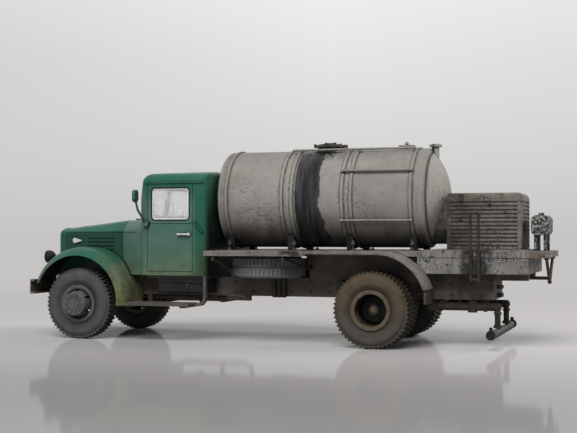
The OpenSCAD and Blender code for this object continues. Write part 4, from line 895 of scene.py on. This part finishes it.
# Brightness of the backdrop by height, and its fade along X, each as place and value
BACKDROP = ((0.0, 0.56), (0.06, 0.66), (0.2, 0.85), (1.0, 0.88))
BACKDROP_FADE = ((0.08, 0.94), (0.28, 1.0), (0.56, 0.83))
EVEN_LIGHT = 0.105
LIT_POINT = (0, 0, 0.03)


def add_camera():
    """The photograph's view: from the truck's left, a little behind, near the ground."""
    data = bpy.data.cameras.new("camera")
    data.sensor_fit = "HORIZONTAL"
    data.sensor_width = SENSOR_MM
    data.lens = FOCAL_PX / IMAGE_W * SENSOR_MM
    data.clip_start = 0.01
    camera = bpy.data.objects.new("camera", data)
    scene.collection.objects.link(camera)
    camera.location = CAMERA_AT
    look = Vector((
        math.sin(CAMERA_TURN) * math.cos(CAMERA_TILT),
        -math.cos(CAMERA_TURN) * math.cos(CAMERA_TILT),
        math.sin(CAMERA_TILT),
    ))
    camera.rotation_euler = look.to_track_quat("-Z", "Y").to_euler()
    scene.camera = camera


def shown_rays(tree):
    """One for camera, glossy and transmission rays."""
    rays = tree.nodes.new("ShaderNodeLightPath")
    shown = rays.outputs["Is Camera Ray"]
    for kind in ("Is Glossy Ray", "Is Transmission Ray"):
        both = tree.nodes.new("ShaderNodeMath")
        both.operation = "MAXIMUM"
        tree.links.new(shown, both.inputs[0])
        tree.links.new(rays.outputs[kind], both.inputs[1])
        shown = both.outputs[0]
    return shown


def add_floor():
    """A wide pale floor with a faint mirror and painted light that falls off towards the camera, which runs
    into the backdrop far from the truck, where it glows with the backdrop's colour.
    """
    mesh = bpy.data.meshes.new("floor")
    half = FLOOR_HALF
    corners = [(-half, -half, 0), (half, -half, 0), (half, half, 0), (-half, half, 0)]
    mesh.from_pydata(corners, [], [(0, 1, 2, 3)])
    floor = bpy.data.objects.new("floor", mesh)
    scene.collection.objects.link(floor)
    t = Tree("floor")
    tree = t.tree
    # Painted light: seen by camera, gloss and glass, the floor is lighter behind the truck and darker towards
    # the camera
    tone = t.mix(t.ramp(t.axis("Y"), -0.02, 0.17), (0.505, 0.487, 0.479), (0.228, 0.221, 0.216))
    tone = t.mix(shown_rays(tree), (0.25, 0.246, 0.242), tone)
    grain = t.mix(t.ramp(t.noise(900, 4), 0.3, 0.7, 0, 0.06), tone, (0.3, 0.3, 0.3))
    matt = t.node("ShaderNodeBsdfDiffuse")
    t.feed(matt.inputs["Color"], grain)
    mirror = t.node("ShaderNodeBsdfGlossy")
    mirror.inputs["Roughness"].default_value = 0.07
    mirror.inputs["Color"].default_value = (0.9, 0.9, 0.9, 1)
    near = t.node("ShaderNodeMixShader")
    near.inputs["Fac"].default_value = FLOOR_MIRROR
    tree.links.new(matt.outputs[0], near.inputs[1])
    tree.links.new(mirror.outputs[0], near.inputs[2])
    # Far from the truck the floor glows with the backdrop's colour for camera, gloss and glass
    far = t.node("ShaderNodeEmission")
    far.inputs["Color"].default_value = (0.565, 0.55, 0.543, 1)
    reach = t.node("ShaderNodeVectorMath", operation="LENGTH")
    t.feed(reach.inputs[0], t.place)
    away = t.ramp(reach.outputs["Value"], 0.1, 0.5)
    whole = t.node("ShaderNodeMixShader")
    tree.links.new(t.times(away, shown_rays(tree)), whole.inputs["Fac"])
    tree.links.new(near.outputs[0], whole.inputs[1])
    tree.links.new(far.outputs[0], whole.inputs[2])
    tree.nodes.remove(t.shader)
    tree.links.new(whole.outputs[0], tree.nodes["Material Output"].inputs["Surface"])
    mesh.materials.append(t.material)


def add_world():
    """A pale studio backdrop for what the camera, gloss and glass see, and an even light for the rest."""
    world = bpy.data.worlds.new("studio")
    scene.world = world
    world.use_nodes = True
    tree = world.node_tree
    tree.nodes.clear()
    out = tree.nodes.new("ShaderNodeOutputWorld")
    seen = tree.nodes.new("ShaderNodeBackground")
    light = tree.nodes.new("ShaderNodeBackground")
    either = tree.nodes.new("ShaderNodeMixShader")
    coords = tree.nodes.new("ShaderNodeTexCoord")
    parts = tree.nodes.new("ShaderNodeSeparateXYZ")
    ramp = tree.nodes.new("ShaderNodeValToRGB")
    for place, value in BACKDROP[1:-1]:
        ramp.color_ramp.elements.new(place).color = (value, value, 0.985 * value, 1)
    ramp.color_ramp.elements[0].color = (BACKDROP[0][1],) * 3 + (1,)
    ramp.color_ramp.elements[-1].color = (BACKDROP[-1][1],) * 3 + (1,)
    tree.links.new(coords.outputs["Generated"], parts.inputs[0])
    tree.links.new(parts.outputs["Z"], ramp.inputs["Fac"])
    tree.links.new(ramp.outputs["Color"], seen.inputs["Color"])
    sideways = tree.nodes.new("ShaderNodeValToRGB")
    for place, value in BACKDROP_FADE:
        stop = sideways.color_ramp.elements.new(place)
        stop.color = (value, value, value, 1)
    sideways.color_ramp.elements.remove(sideways.color_ramp.elements[0])
    sideways.color_ramp.elements.remove(sideways.color_ramp.elements[-1])
    tree.links.new(parts.outputs["X"], sideways.inputs["Fac"])
    high = tree.nodes.new("ShaderNodeMapRange")
    high.inputs["From Max"].default_value = 0.15
    high.inputs["To Min"].default_value = 1.0
    tree.links.new(parts.outputs["Z"], high.inputs["Value"])
    tree.links.new(sideways.outputs["Color"], high.inputs["To Max"])
    tree.links.new(high.outputs["Result"], seen.inputs["Strength"])
    light.inputs["Color"].default_value = (1, 1, 1, 1)
    light.inputs["Strength"].default_value = EVEN_LIGHT
    tree.links.new(shown_rays(tree), either.inputs["Fac"])
    tree.links.new(light.outputs[0], either.inputs[1])
    tree.links.new(seen.outputs[0], either.inputs[2])
    tree.links.new(either.outputs[0], out.inputs["Surface"])


def add_softbox(name, at, size, watts):
    """A square area lamp that points at the truck."""
    data = bpy.data.lights.new(name, "AREA")
    data.size = size
    data.energy = watts
    lamp = bpy.data.objects.new(name, data)
    scene.collection.objects.link(lamp)
    lamp.location = at
    lamp.visible_glossy = False
    lamp.rotation_euler = (Vector(LIT_POINT) - Vector(at)).to_track_quat("-Z", "Y").to_euler()


add_camera()
add_floor()
add_world()
add_softbox("key_box", (-0.05, 0.75, 0.8), 0.75, 13.8)
add_softbox("rear_box", (-0.8, -0.35, 0.55), 0.5, 6.5)
add_softbox("right_box", (0.35, -0.85, 0.55), 0.6, 1.8)
